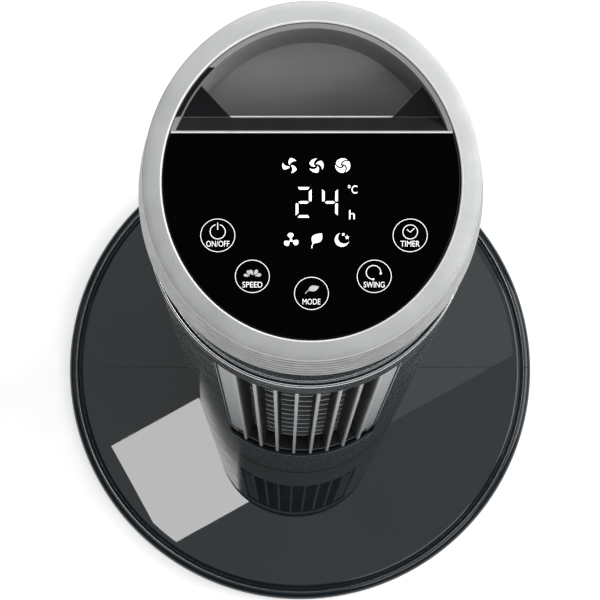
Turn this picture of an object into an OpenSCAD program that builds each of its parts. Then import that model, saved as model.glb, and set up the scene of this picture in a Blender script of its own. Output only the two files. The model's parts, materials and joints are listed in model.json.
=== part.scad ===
// Tower fan with a slanted head: round base in two halves, swivelling tower,
// cross-flow impeller, slatted outlet at the front and intake grille at the rear.
// The origin is on the tower's axis at the floor. +Z is up and the outlet faces -Y.

/* [Base] */
// Outer diameter of the round base
base_d = 300; // [250:5:380]
// Height of the bead round the base's rim, above the floor
base_rim_h = 17; // [13:0.5:17]
// Height of the base's flat middle, above the floor
base_mid_h = 17.5; // [17:0.5:26]
// Wall of the base's top skin
base_wall = 2.6; // [2:0.1:3.6]
// Thickness of the base's flat middle plate
base_plate_t = 4; // [3:0.2:5]
// Height of the base's lower edge above the floor
base_lift = 2; // [1:0.25:3]
// Number of rubber feet
foot_count = 8; // [4:2:12]
// Radius of each rubber foot
foot_r = 7; // [5:0.5:9]

/* [Swivel] */
// Outer radius of the pedestal's hollow column
column_r = 22; // [18:0.5:23]
// Wall of the pedestal's hollow column
column_wall = 6; // [4:0.5:8]
// Thickness of the pedestal's flange
flange_t = 4; // [3.5:0.5:6]
// Thickness of the slippery washer that the tower turns on
washer_t = 2; // [1.5:0.25:4]
// Teeth on the fixed swing gear
gear_teeth = 36; // [34:2:44]
// Teeth on the swing motor's pinion
pinion_teeth = 18; // [18:2:24]
// Module of both swing gears
gear_module = 1.5; // [1.4:0.05:1.7]
// Thickness of the swing gear
gear_t = 6; // [5:0.5:9]

/* [Tower] */
// Outer diameter of the tower's housing
tower_d = 137; // [130:1:170]
// Wall of the housing halves
shell_wall = 2.2; // [1.8:0.1:3]
// Height of the middle of the slanted head face, above the floor
face_h = 775.5; // [640:0.5:960]
// Slant of the head, in degrees
slant = 24.7; // [15:0.1:30]
// Gap between the base's top and the tower's lower edge
tower_gap = 2.5; // [1.5:0.25:3.5]
// Height of the outlet opening's lower edge, above the floor
outlet_h = 188; // [180:1:230]
// Half the angle that the outlet opening spans, in degrees
outlet_half = 37.4; // [32:0.2:40]
// Half the angle that the intake opening spans, in degrees
intake_half = 52; // [40:1:54]
// Height of the housing's band above the outlet opening
top_band = 32; // [20:0.5:45]

/* [Grilles] */
// Number of upright slats in the outlet grille
slat_count = 8; // [6:2:10]
// Angle from one slat to the next, in degrees
slat_pitch = 8.315; // [6:0.1:8.4]
// Thickness of a slat
slat_t = 2; // [1.4:0.1:3]
// Depth of a slat, from its front edge inwards
slat_depth = 10; // [7:0.5:10.5]
// Height from one tie ring of the outlet grille to the next
tie_pitch = 30; // [20:1:60]
// Number of upright ribs in the intake grille
intake_ribs = 15; // [9:2:21]
// Height from one ring of the intake grille to the next
intake_pitch = 36; // [24:2:60]

/* [Impeller and motor] */
// Outer radius of the impeller
impeller_r = 43; // [38:0.5:44]
// Number of impeller blades
blade_count = 26; // [18:1:30]
// Radial depth of the impeller's blades
blade_depth = 8; // [6:0.5:10]
// Height from one impeller ring to the next
ring_pitch = 60; // [40:5:110]
// Outer radius of the impeller motor
motor_r = 38; // [34:0.5:39]
// Height of the motor's laminated core
core_h = 12; // [8:1:20]
// Radius of the motor's shaft
shaft_r = 4; // [3:0.5:5]

/* [Head] */
// Upright height of the metal ring
ring_h = 32.3; // [24:0.1:40]
// How much the metal ring narrows from its lower edge to its face
ring_taper = 3; // [0.5:0.25:4]
// Width of the metal ring's face
ring_face = 7.5; // [6:0.25:8]
// Upright height of the visible collar under the metal ring
collar_h = 58.7; // [40:0.1:80]
// How far the collar stands back from the housing
collar_inset = 1.5; // [1:0.1:2.5]
// Distance up the slope from the middle of the face to the panel's rear edge
panel_edge = 20.5; // [12:0.5:24]
// Thickness of the control panel
panel_t = 2.6; // [2:0.2:4]
// How deep the panel lies below the metal ring's face
panel_drop = 0.6; // [0.3:0.1:1.2]
// Depth of the finger pocket behind the panel
pocket_depth = 47; // [40:1:52]
// Slope of the finger pocket's floor, in degrees
pocket_slope = 47; // [42:1:52]

/* [Hidden] */
$fn = 96;

// Clearances
fit_gap = 0.3;      // between pieces that slide together once
run_gap = 0.06;     // radial, in a running fit
seat_gap = 0.03;    // radial, in a tight seat
seam_gap = 0.3;     // along the parting line of two halves

// Base
base_r = base_d/2;
hub_flat_r = 72;                       // radius of the base's flat middle
flange_r = 58;                         // radius of the pedestal's flange
neck_r = 33.6;                         // radius of the pedestal's threaded neck
neck_wall = 3;
column_bore = column_r - column_wall;
neck_low = base_lift + 2;
screw_circle = 50;                     // radius that the base's screws sit on
gland_bore = 3.3;                      // radius of the cord's hole
gland_r = 4.4;
gland_h = base_lift + 4.8;
gland_len = 16;
foot_circle = base_r - 21;
foot_seat = 1.5;                       // how far a foot sits in its boss
foot_boss_low = base_lift + 1;
plate_under = base_mid_h - base_plate_t;

// Swivel, from the base upwards
flange_top = base_mid_h + flange_t;
foot_low = flange_top + washer_t;
foot_t = 3;
foot_hub_top = foot_low + foot_t + 5.5;
gear_low = foot_hub_top + fit_gap;
gear_top = gear_low + gear_t;
clip_t = 1.6;
clip_depth = 1.2;
column_top = gear_top + clip_t + 1.2;
column_flat = column_r - 1.6;          // half width across the column's flats
gear_pitch_r = gear_module*gear_teeth/2;
pinion_pitch_r = gear_module*pinion_teeth/2;
swing_axis = gear_pitch_r + pinion_pitch_r;
swing_motor_low = column_top + 1.5;
swing_motor_h = 18;
swing_motor_r = 21;
swing_shaft_r = 3;
ear_x = swing_motor_r + 4.5;           // place of the swing motor's ears
ear_t = 1.2;
mesh_gap = 0.14;                       // tooth thinning on each side

// Tower
tower_r = tower_d/2;
inner_r = tower_r - shell_wall;
fitted_r = inner_r - 0.5;              // radius of plates inside the housing
tower_low = base_mid_h + tower_gap;
ring_low = face_h - ring_h;
collar_low = ring_low - collar_h;
outlet_top = collar_low - top_band;    // where the opening's top plane crosses the axis
reach = 2.5*face_h;

// Grilles
slat_r = tower_r - 0.8;
slat_in = slat_r - slat_depth;
slat_low = outlet_h + 10;
ledge_t = 3;
cheek_from = (slat_count - 1)/2*slat_pitch;
cheek_to = outlet_half - 0.5;
cheek_rise = 48;                       // height that the cheeks stop above the ledge
tie_r = slat_in - 2.3;
tie_t = 1.6;
grille_tab = 3.5;                      // degrees that a grille reaches behind the housing
intake_low = outlet_h + 14;
intake_top = outlet_top - 6;
intake_r = tower_r - 0.5;
intake_in = inner_r - 3.2;

// Impeller and motor
bracket_low = outlet_h - 22;
bracket_t = 3;
mount_h = 6;
motor_top = bracket_low - mount_h;
shield_h = 20;
motor_low = motor_top - 2*shield_h - core_h;
core_low = motor_low + shield_h;
core_top = core_low + core_h;
shield_t = 1.5;
rotor_r = 20.1;
air_gap = 0.4;
bush_r = shaft_r + 4;
bush_h = 9;
mount_circle = motor_r + 8;
mount_r = 6;
impeller_low = outlet_h + 2;
disc_t = 2;
impeller_top = outlet_top - tan(slant)*tower_r - 8;
bearing_low = impeller_top + 4;
stub_r = 3;
damper_r = 11;
duct_r = impeller_r + 3.5;             // radius of the duct where it starts, beside the blades
duct_end_r = inner_r - 6.3;
duct_t = 1.4;
duct_from = -150;
duct_to = -outlet_half - 6;
tongue_to = outlet_half + 22;

// Lower electrics
loom_r = 2.5;
loom_circle = inner_r - 5.8;
loom_angle = -118;
board_y = 0.71*inner_r;
board_low = motor_low - 44;
board_h = 38;
board_w = 64;

// Head
face_r = tower_r - ring_taper;
window_r = face_r - ring_face;         // radius inside the metal ring's face
insert_r = window_r - fit_gap;         // radius of what sits inside the ring
collar_r = tower_r - collar_inset;
collar_wall = 2.4;
panel_under = panel_drop + panel_t;    // depth of the panel's underside
seat_depth = panel_under + 0.05;       // depth of what the panel rests on
deck_top = face_h - seat_depth/cos(slant);  // height of the ledge under it, on the axis
deck_t = 3;
bar_t = 4.3;                           // thickness of the grip bar under the panel's rear edge
pocket_wall = 1.8;
pocket_in = insert_r - pocket_wall;
pocket_front = 13.5;                   // y of the finger pocket's front wall
pocket_half = 28;                      // half width of the pocket's lower part
spring_h = 6;
board_t = 1.6;
board_depth = panel_under + spring_h;  // depth of the control board's upper face
board_r = insert_r - 8;
board_under = board_depth + board_t;
// Distance up the slope of the control board's rear edge, clear of the pocket's front wall
board_edge = (pocket_front - pocket_wall - 0.8 - board_under*sin(slant))/cos(slant);
// Key centres on the face: across, and up the slope
KEYS = [[-37.4, -20.9], [-23.7, -37.6], [0, -44.6], [23.7, -37.6], [37.4, -20.9]];
// Places of the control board's screws on the face
BOARD_SCREWS = [[-32, 2], [32, 2], [-13, -40.5], [13, -40.5]];

// ---- Shared shapes ----

// Height of a slanted plane over y, for a plane that crosses the axis at z
function slant_z(z, y) = z + tan(slant)*y;

// Side view point at distance w up the slope and depth d below the face
function face_point(w, d) = [w*cos(slant) + d*sin(slant), face_h + w*sin(slant) - d*cos(slant)];

// Space between two slanted planes that cross the axis at low and high
module slanted_layer(low, high) {
  translate([0, 0, low])
    rotate([slant, 0, 0])
      translate([-reach/2, -reach/2, 0])
        cube([reach, reach, (high - low)*cos(slant)]);
}

// Upright tube
module tube(outer, inner, low, high) {
  translate([0, 0, low])
    difference() {
      cylinder(r = outer, h = high - low);
      translate([0, 0, -1]) cylinder(r = inner, h = high - low + 2);
    }
}

// Part of an upright tube between two angles, counted from the front towards +X
module sector(outer, inner, low, high, from, to) {
  rotate([0, 0, from - 90])
    rotate_extrude(angle = to - from)
      translate([inner, low]) square([outer - inner, high - low]);
}

// Moves its children to a radius and an angle, counted from the front towards +X
module at(radius, angle) {
  rotate([0, 0, angle]) translate([0, -radius, 0]) children();
}

// Places its children on the slanted face, at depth d below it
module on_face(u, w, d) {
  translate([0, 0, face_h]) rotate([slant, 0, 0]) translate([u, w, -d]) children();
}

// Solid with the side view outline, over the whole width
module side_extrude(outline) {
  rotate([90, 0, 90])
    translate([0, 0, -tower_r])
      linear_extrude(height = tower_d) polygon(outline);
}

// Screw along -Z with a pan head, head's underside at the origin
module screw(shank_r, shank_l, head_r, head_h) {
  translate([0, 0, -shank_l]) cylinder(r = shank_r, h = shank_l + head_h/2, $fn = 24);
  difference() {
    cylinder(r = head_r, h = head_h, $fn = 32);
    translate([-head_r*0.7, -0.4, head_h - 0.8]) cube([head_r*1.4, 0.8, 2]);
    translate([-0.4, -head_r*0.7, head_h - 0.8]) cube([0.8, head_r*1.4, 2]);
  }
}

// Involute tooth outline for a spur gear
function involute_angle(base, r) = (sqrt(r*r - base*base)/base)*180/PI - acos(base/r);
function tooth_flank(teeth, base, root, tip, side) =
  let (half = 90/teeth + involute_angle(base, gear_module*teeth/2) - mesh_gap*360/(PI*gear_module*teeth))
  [for (i = [0:4])
    let (r = max(base, root) + (tip - max(base, root))*i/4,
         a = half - involute_angle(base, r))
    [r, side*a]];
function gear_outline(teeth) =
  let (pitch = gear_module*teeth/2, base = pitch*cos(20),
       root = pitch - 1.25*gear_module, tip = pitch + 0.95*gear_module)
  [for (k = [0:teeth - 1])
    let (right = tooth_flank(teeth, base, root, tip, -1),
         left = tooth_flank(teeth, base, root, tip, 1))
    for (p = concat([[root, right[0][1]]], right,
                    [for (i = [4:-1:0]) left[i]], [[root, left[0][1]]]))
      [p[0]*cos(p[1] + k*360/teeth), p[0]*sin(p[1] + k*360/teeth)]];

// ---- Base ----

// Side outline of the base's outside, with the bead and the groove at its rim
function bead_arc() = [for (a = [0:11.5:115])
  [base_r - 4.5 + 4.5*cos(a), base_rim_h - 4.5 + 4.5*sin(a)]];
function base_outside() = concat(
  [[neck_r + 0.4, base_lift], [base_r, base_lift]],
  bead_arc(),
  [[base_r - 6.9, base_rim_h - 0.9], [base_r - 7.4, base_rim_h - 0.6],
   [base_r - 8.3, base_rim_h + 0.1], [base_r - 9.4, base_rim_h + 0.25],
   [hub_flat_r, base_mid_h], [neck_r + 0.4, base_mid_h]]);

// Side outline of the hollow under the base's skin
function base_hollow() = [
  [neck_r - 2, base_lift - 1], [base_r - base_wall, base_lift - 1],
  [base_r - base_wall, base_rim_h - 6], [base_r - base_wall - 4, base_rim_h - base_wall - 0.9],
  [base_r - 11, base_rim_h + 0.2 - base_wall], [hub_flat_r + 4, base_mid_h - base_wall - 0.2],
  [hub_flat_r, plate_under], [neck_r - 2, plate_under]];

// One half of the base, on the +Y side before turning
module base_half(feet) {
  seam = asin(seam_gap/2/base_r);
  difference() {
    union() {
      rotate([0, 0, seam])
        rotate_extrude(angle = 180 - 2*seam)
          difference() {
            polygon(base_outside());
            polygon(base_hollow());
          }
      intersection() {
        rotate([0, 0, seam]) rotate_extrude(angle = 180 - 2*seam) polygon(base_outside());
        union() {
          for (a = [15:30:165])
            rotate([0, 0, a])
              translate([screw_circle + 6, -1, foot_boss_low + 1])
                cube([base_r - screw_circle - 8, 2, base_mid_h]);
          for (a = feet)
            rotate([0, 0, a])
              translate([foot_circle, 0, foot_boss_low])
                cylinder(r = foot_r + 1.8, h = base_mid_h, $fn = 48);
        }
      }
    }
    for (a = feet)
      rotate([0, 0, a])
        translate([foot_circle, 0, foot_boss_low - 1])
          cylinder(r = foot_r + 0.1, h = foot_seat + 1, $fn = 48);
    for (a = [45, 135])
      rotate([0, 0, a])
        translate([screw_circle, 0, plate_under - 1])
          cylinder(r = 2.2, h = base_plate_t + 2, $fn = 32);
  }
}

// Angles of the feet on one half
function half_feet() = [for (i = [0:foot_count/2 - 1]) (i + 0.5)*360/foot_count];

module base_front_shell() {
  color("#33373a") rotate([0, 0, 180]) base_half(half_feet());
}

module base_rear_shell() {
  color("#33373a")
    difference() {
      base_half(half_feet());
      translate([0, base_r + 1, gland_h])
        rotate([90, 0, 0]) cylinder(r = gland_r + 0.1, h = gland_len + 4, $fn = 48);
    }
}

module swivel_pedestal() {
  color("#202224")
    difference() {
      union() {
        tube(neck_r, neck_r - neck_wall, neck_low, base_mid_h + 1);
        tube(flange_r, column_bore, base_mid_h, flange_top);
        difference() {
          tube(column_r, column_bore, base_mid_h, column_top);
          for (side = [-1, 1])
            translate([side*(column_flat + 5) - 5, -column_r, foot_hub_top])
              cube([10, 2*column_r, gear_t + 20]);
        }
      }
      tube(column_r + 1, column_r - clip_depth - 0.05, gear_top, gear_top + clip_t + 0.1);
      for (a = [45:90:315])
        rotate([0, 0, a])
          translate([screw_circle, 0, base_mid_h - 1])
            cylinder(r = 1.6, h = flange_t, $fn = 24);
    }
}

module base_nut() {
  color("#202224")
    difference() {
      tube(neck_r + 10, neck_r + 0.1, plate_under - 6, plate_under);
      for (a = [0:45:315])
        rotate([0, 0, a])
          translate([neck_r + 10, 0, plate_under - 7]) cylinder(r = 3, h = 8, $fn = 24);
    }
}

module base_screws() {
  color("silver")
    for (a = [45:90:315])
      rotate([0, 0, a])
        translate([screw_circle, 0, plate_under])
          rotate([180, 0, 0]) screw(1.5, base_plate_t + flange_t - 1.4, 3.4, 2.2);
}

module rubber_feet() {
  color("#151515")
    for (half = [0, 180])
      for (a = half_feet())
        rotate([0, 0, a + half])
          translate([foot_circle, 0, 0]) {
            translate([0, 0, 0.6])
              cylinder(r = foot_r, h = foot_boss_low + foot_seat - 0.6, $fn = 48);
            cylinder(r1 = foot_r - 0.6, r2 = foot_r, h = 0.6, $fn = 48);
          }
}

// Bush that the mains lead leaves the base through
module cord_gland() {
  outer_end = base_r - 0.4;
  color("#151515")
    translate([0, outer_end, gland_h])
      rotate([90, 0, 0])
        difference() {
          union() {
            cylinder(r = gland_r, h = gland_len, $fn = 48);
            translate([0, 0, base_wall + 1.4]) cylinder(r = gland_r + 0.08, h = 2, $fn = 48);
          }
          translate([0, 0, -1]) cylinder(r = gland_bore, h = gland_len + 2, $fn = 48);
        }
}

// ---- Swivel and swing drive ----

module swivel_washer() {
  color("#d8d8d0") tube(flange_r - 4, flange_r - 14, flange_top, foot_low);
}

module swing_gear() {
  color("#e4e2da")
    difference() {
      translate([0, 0, gear_low])
        linear_extrude(height = gear_t) polygon(gear_outline(gear_teeth));
      intersection() {
        translate([0, 0, gear_low - 1]) cylinder(r = column_r + 0.1, h = gear_t + 2);
        translate([-column_flat - 0.1, -column_r - 1, gear_low - 1])
          cube([2*column_flat + 0.2, 2*column_r + 2, gear_t + 2]);
      }
    }
}

module gear_clip() {
  color("silver")
    sector(column_r + 3, column_r - clip_depth, gear_top, gear_top + clip_t, 30, 330);
}

// Bottom plate of the tower, with the hub that turns on the column
module tower_foot() {
  color("#2a2d30")
    difference() {
      union() {
        tube(fitted_r, column_r + run_gap, foot_low, foot_low + foot_t);
        tube(fitted_r, fitted_r - 2.2, foot_low, foot_low + 12);
        tube(column_r + 4.5, column_r + run_gap, foot_low, foot_hub_top);
        for (side = [-1, 1])
          translate([side*ear_x, swing_axis, foot_low + 1])
            cylinder(r = 4, h = swing_motor_low - foot_low - 1, $fn = 48);
      }
      for (side = [-1, 1])
        translate([side*ear_x, swing_axis, swing_motor_low - 10])
          cylinder(r = 1.5, h = 11, $fn = 24);
    }
}

module swing_motor() {
  color("#b9bcc0")
    translate([0, swing_axis, swing_motor_low])
      difference() {
        union() {
          cylinder(r = swing_motor_r, h = swing_motor_h);
          difference() {
            translate([-ear_x - 4, -4.5, 0]) cube([2*ear_x + 8, 9, ear_t]);
            for (side = [-1, 1])
              translate([side*ear_x, 0, -1]) cylinder(r = 2, h = ear_t + 2, $fn = 24);
          }
        }
        translate([0, 0, -1]) cylinder(r = swing_shaft_r + run_gap, h = 9, $fn = 48);
      }
}

module swing_motor_screws() {
  color("silver")
    for (side = [-1, 1])
      translate([side*ear_x, swing_axis, swing_motor_low + ear_t])
        screw(1.45, 9, 3.2, 2);
}

module swing_shaft() {
  color("#c8ccd0")
    translate([0, swing_axis, gear_low - 1])
      cylinder(r = swing_shaft_r, h = swing_motor_low + 7 - gear_low, $fn = 48);
}

module swing_pinion() {
  color("#e4e2da")
    translate([0, swing_axis, gear_low])
      difference() {
        linear_extrude(height = gear_t) polygon(gear_outline(pinion_teeth));
        translate([0, 0, -1]) cylinder(r = swing_shaft_r + seat_gap, h = gear_t + 2, $fn = 48);
      }
}

// ---- Housing ----

// Half of the housing between its lower edge and the slanted upper edge
module housing_half(from, to) {
  seam = asin(seam_gap/2/tower_r);
  intersection() {
    sector(tower_r, inner_r, tower_low, face_h, from + seam, to - seam);
    slanted_layer(collar_low - reach/2, collar_low);
  }
}

// Heights of the screws that join the two halves
function joint_heights() = [tower_low + 32, (tower_low + collar_low)/2, collar_low - 60];
joint_x = inner_r - 5.2;

// Screw posts of one half, on the side that sign gives
module housing_posts(sign) {
  for (z = joint_heights())
    for (side = [-1, 1])
      translate([side*joint_x, sign*seam_gap/2, z])
        rotate([-sign*90, 0, 0]) {
          cylinder(r = 3.4, h = 11, $fn = 32);
          translate([side > 0 ? 0 : -5.4, -1, 0]) cube([5.4, 2, 11]);
        }
}

module front_housing() {
  color("#33373a")
    difference() {
      union() {
        housing_half(-90, 90);
        intersection() {
          cylinder(r = tower_r - 1, h = face_h);
          housing_posts(-1);
        }
      }
      intersection() {
        sector(tower_r + 1, inner_r - 1, outlet_h, face_h, -outlet_half, outlet_half);
        slanted_layer(outlet_h - reach/2, outlet_top);
      }
      for (z = joint_heights())
        for (side = [-1, 1])
          translate([side*joint_x, 1, z])
            rotate([90, 0, 0]) cylinder(r = 1.4, h = 9, $fn = 24);
    }
}

module rear_housing() {
  color("#33373a")
    difference() {
      union() {
        housing_half(90, 270);
        intersection() {
          cylinder(r = tower_r - 1, h = face_h);
          housing_posts(1);
        }
      }
      sector(tower_r + 1, inner_r - 1, intake_low, intake_top, 180 - intake_half, 180 + intake_half);
      for (z = joint_heights())
        for (side = [-1, 1])
          translate([side*joint_x, -1, z])
            rotate([-90, 0, 0]) {
              cylinder(r = 1.9, h = 14, $fn = 24);
              translate([0, 0, 7]) cylinder(r = 2.9, h = 40, $fn = 24);
            }
    }
}

module housing_screws() {
  color("silver")
    for (z = joint_heights())
      for (side = [-1, 1])
        translate([side*joint_x, 6, z])
          rotate([-90, 0, 0]) screw(1.35, 13, 2.6, 1.8);
}

// One solid strip beside the slats, with its flange behind the housing's wall
module grille_cheek() {
  edge = outlet_half + grille_tab;
  intersection() {
    sector(tower_r - 1.5, inner_r - 2.1, slat_low + cheek_rise, face_h, cheek_from, cheek_to);
    slanted_layer(outlet_h - reach/2, outlet_top - fit_gap);
  }
  intersection() {
    sector(inner_r - fit_gap, inner_r - 2.6, slat_low - 4, face_h, outlet_half - 3, edge);
    slanted_layer(outlet_h - reach/2, outlet_top + 2.2);
  }
}

// Upright slats, tie rings, solid cheeks, a top rail and a ledge
module front_grille() {
  rail_half = outlet_half + grille_tab - 0.5;
  rail_r = inner_r - fit_gap - 0.4;
  color("#8f9498") {
    intersection() {
      for (i = [0:slat_count - 1])
        rotate([0, 0, (i - (slat_count - 1)/2)*slat_pitch])
          translate([-slat_t/2, -slat_r, slat_low])
            cube([slat_t, slat_depth, face_h - slat_low]);
      slanted_layer(outlet_h - reach/2, outlet_top - fit_gap);
    }
    for (z = [slat_low + tie_pitch/2:tie_pitch:slant_z(outlet_top, -tower_r) - 8])
      sector(slat_in + 0.4, tie_r, z, z + tie_t, -cheek_from - 2, cheek_from + 2);
    grille_cheek();
    mirror([1, 0, 0]) grille_cheek();
    sector(rail_r, tie_r, slat_low - 1, slat_low + ledge_t - 1, -rail_half, rail_half);
    intersection() {
      sector(rail_r, tie_r + 0.2, slat_low, face_h, -rail_half, rail_half);
      slanted_layer(outlet_top - ledge_t, outlet_top + 1.5);
    }
  }
}

// Upright ribs and rings that cover the intake opening, with a frame behind the housing's wall
module intake_grille() {
  edge = intake_half + grille_tab;
  frame_r = inner_r - fit_gap;
  frame_low = intake_low - 6;
  frame_high = intake_top + 6;
  color("#2a2d30") {
    for (i = [0:intake_ribs - 1])
      rotate([0, 0, 180 + (2*i/(intake_ribs - 1) - 1)*(intake_half - 1.5)])
        translate([-0.8, -intake_r, intake_low + fit_gap])
          cube([1.6, intake_r - intake_in, intake_top - intake_low - 2*fit_gap]);
    for (z = [intake_low + intake_pitch/2:intake_pitch:intake_top - 8])
      sector(intake_in + 1.6, intake_in - 0.6, z, z + 1.6, 181 - edge, 179 + edge);
    for (z = [frame_low, frame_high - 7])
      sector(frame_r - 0.3, intake_in - 0.75, z, z + 7, 180.5 - edge, 179.5 + edge);
    for (a = [180 - edge, 180 + intake_half + 0.3])
      sector(frame_r, intake_in - 0.9, frame_low + 0.5, frame_high - 0.5, a, a + grille_tab - 0.3);
  }
}

// ---- Air path ----

// Radius of the scroll wall at an angle from the front
function scroll_r(a) = duct_r + (duct_end_r - duct_r)*(a - duct_from)/(duct_to - duct_from);
function polar(r, a) = [r*sin(a), -r*cos(a)];

// Curved wall that leads the air from behind the impeller to the outlet
module scroll_duct() {
  steps = 18;
  angles = [for (i = [0:steps]) duct_from + (duct_to - duct_from)*i/steps];
  color("#5a5e62")
    translate([0, 0, bracket_low + bracket_t])
      linear_extrude(height = bearing_low - bracket_low - bracket_t)
        polygon(concat(
          [for (a = angles) polar(scroll_r(a), a)],
          [for (i = [steps:-1:0]) polar(scroll_r(angles[i]) + duct_t, angles[i])]));
}

// Lip on the other side, which keeps the air from going round again
module vortex_tongue() {
  steps = 8;
  span = tongue_to - outlet_half - 6;
  angles = [for (i = [0:steps]) tongue_to - span*i/steps];
  function lip_r(a) = duct_r + 1 + (duct_end_r - duct_r - 1)*pow((tongue_to - a)/span, 1.3);
  color("#5a5e62")
    translate([0, 0, bracket_low + bracket_t])
      linear_extrude(height = bearing_low - bracket_low - bracket_t)
        union() {
          polygon(concat(
            [for (a = angles) polar(lip_r(a), a)],
            [for (i = [steps:-1:0]) polar(lip_r(angles[i]) + 2, angles[i])]));
          translate(polar(lip_r(tongue_to) + 1, tongue_to)) circle(r = 1.6, $fn = 32);
        }
}

// Blades, rings and end discs in one moulding
module impeller() {
  inner = impeller_r - blade_depth;
  function blade_point(t, side) =
    let (r = inner + blade_depth*t, a = 11*t*t + side*0.55/r*180/PI) [r*cos(a), r*sin(a)];
  color("#3a3d40") {
    translate([0, 0, impeller_low + 0.5])
      linear_extrude(height = impeller_top - impeller_low - 1)
        for (k = [0:blade_count - 1])
          rotate([0, 0, k*360/blade_count])
            polygon(concat(
              [for (t = [0:0.25:1]) blade_point(t, 1)],
              [for (t = [1:-0.25:0]) blade_point(t, -1)]));
    for (z = [impeller_low + ring_pitch:ring_pitch:impeller_top - ring_pitch/2])
      tube(impeller_r - 1, inner - 3, z, z + 1.6);
    tube(impeller_r, bush_r + 6 + seat_gap, impeller_low, impeller_low + disc_t);
    tube(impeller_r, stub_r + seat_gap, impeller_top - disc_t, impeller_top);
    tube(stub_r + 5, stub_r + seat_gap, impeller_top - 10, impeller_top);
  }
}

module hub_bush() {
  color("#151515") {
    tube(bush_r + 6, bush_r + 1 + seat_gap, impeller_low - 2, impeller_low + 5);
    tube(bush_r + 8, bush_r + 1 + seat_gap, impeller_low - 2, impeller_low);
  }
}

module impeller_hub() {
  color("#b58a3c")
    difference() {
      tube(bush_r + 1, shaft_r + seat_gap, impeller_low - 9, impeller_low + 8);
      translate([0, 0, impeller_low - 5.5])
        rotate([0, 90, 0]) cylinder(r = 1.6, h = bush_r + 4, $fn = 24);
    }
}

module hub_screw() {
  color("#3a3d40")
    translate([shaft_r + 0.1, 0, impeller_low - 5.5])
      rotate([0, 90, 0]) cylinder(r = 1.55, h = bush_r - shaft_r + 0.5, $fn = 24);
}

module stub_shaft() {
  color("#c8ccd0") translate([0, 0, impeller_top - 10]) cylinder(r = stub_r, h = 26, $fn = 48);
}

// ---- Motor ----

module motor_shaft() {
  color("#c8ccd0")
    translate([0, 0, motor_low + shield_t + 1])
      cylinder(r = shaft_r, h = impeller_low + 8 - motor_low - shield_t - 1, $fn = 64);
}

module rotor_core() {
  color("#9a9da0") tube(rotor_r, shaft_r + seat_gap, core_low - 2, core_top + 2);
}

module stator_core() {
  color("#7d8186")
    difference() {
      tube(motor_r, rotor_r + air_gap, core_low, core_top);
      for (a = [0:30:330])
        rotate([0, 0, a])
          translate([rotor_r + 6.5, 0, core_low - 1]) cylinder(r = 2.8, h = core_h + 2, $fn = 24);
    }
}

module stator_windings() {
  color("#b8662e") {
    tube(motor_r - 4, rotor_r + 2.4, core_low - 8, core_low);
    tube(motor_r - 4, rotor_r + 2.4, core_top, core_top + 8);
  }
}

module motor_bushes() {
  color("#a8834a") {
    tube(bush_r, shaft_r + 0.04, motor_low + shield_t, motor_low + shield_t + bush_h);
    tube(bush_r, shaft_r + 0.04, motor_top - shield_t - bush_h, motor_top - shield_t);
  }
}

// Cup shaped end shield, closed side at the bottom
module end_shield(opening) {
  difference() {
    union() {
      difference() {
        cylinder(r = motor_r, h = shield_h);
        translate([0, 0, shield_t]) cylinder(r = motor_r - shield_t, h = shield_h);
      }
      cylinder(r = bush_r + 2.2, h = shield_t + bush_h);
    }
    translate([0, 0, shield_t]) cylinder(r = bush_r + seat_gap, h = shield_h);
    if (opening) translate([0, 0, -1]) cylinder(r = shaft_r + 1.5, h = shield_h);
    for (a = [15:30:345])
      rotate([0, 0, a])
        translate([motor_r - 12, -1.5, -1]) cube([7, 3, shield_t + 2]);
  }
}

module motor_lower_shield() {
  color("#a9adb1") translate([0, 0, motor_low]) end_shield(false);
}

module motor_upper_shield() {
  color("#a9adb1")
    difference() {
      union() {
        translate([0, 0, motor_top]) rotate([180, 0, 0]) end_shield(true);
        for (a = [0:120:240])
          at(0, a)
            translate([-5, -mount_circle - 5, motor_top - 2]) cube([10, 14, 2]);
      }
      for (a = [0:120:240])
        at(mount_circle, a)
          translate([0, 0, motor_top - 3]) cylinder(r = 2.3, h = 4, $fn = 32);
    }
}

module motor_mounts() {
  color("#151515")
    for (a = [0:120:240])
      at(mount_circle, a) tube(mount_r, 2.3, motor_top, bracket_low);
}

module motor_screws() {
  color("silver")
    for (a = [0:120:240])
      at(mount_circle, a)
        translate([0, 0, motor_top - 2])
          rotate([180, 0, 0]) screw(2, mount_h + bracket_t + 5, 4, 2.4);
}

// Plate that carries the motor and closes the air duct's lower end
module motor_bracket() {
  color("#2a2d30")
    difference() {
      union() {
        tube(fitted_r, bush_r + 6, bracket_low, bracket_low + bracket_t);
        tube(fitted_r, fitted_r - 2, bracket_low, bracket_low + 10);
      }
      for (a = [0:120:240])
        at(mount_circle, a)
          translate([0, 0, bracket_low - 1]) cylinder(r = 2.3, h = bracket_t + 2, $fn = 32);
      at(loom_circle, loom_angle)
        translate([0, 0, bracket_low - 1]) cylinder(r = loom_r + 1, h = 12, $fn = 32);
      for (side = [-1, 1])
        translate([side*joint_x - 5, -13, bracket_low + bracket_t]) cube([10, 26, 10]);
    }
}

module motor_capacitor() {
  color("#1c1d1f")
    translate([-fitted_r + 11, -27, foot_low + foot_t]) cube([21, 26, 28]);
}

// Mains board behind the motor, with its larger components
module power_board() {
  color("#2f6b3a") {
    translate([-board_w/2, board_y, board_low]) cube([board_w, board_t, board_h]);
    translate([-board_w/2 + 5, board_y - 15, board_low + 5]) cube([20, 15.2, 24]);
    translate([4, board_y - 11, board_low + 6]) cube([16, 11.2, 13]);
    translate([13, board_y + 0.1, board_low + 28])
      rotate([90, 0, 0]) cylinder(r = 5, h = 14, $fn = 48);
  }
}

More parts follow.
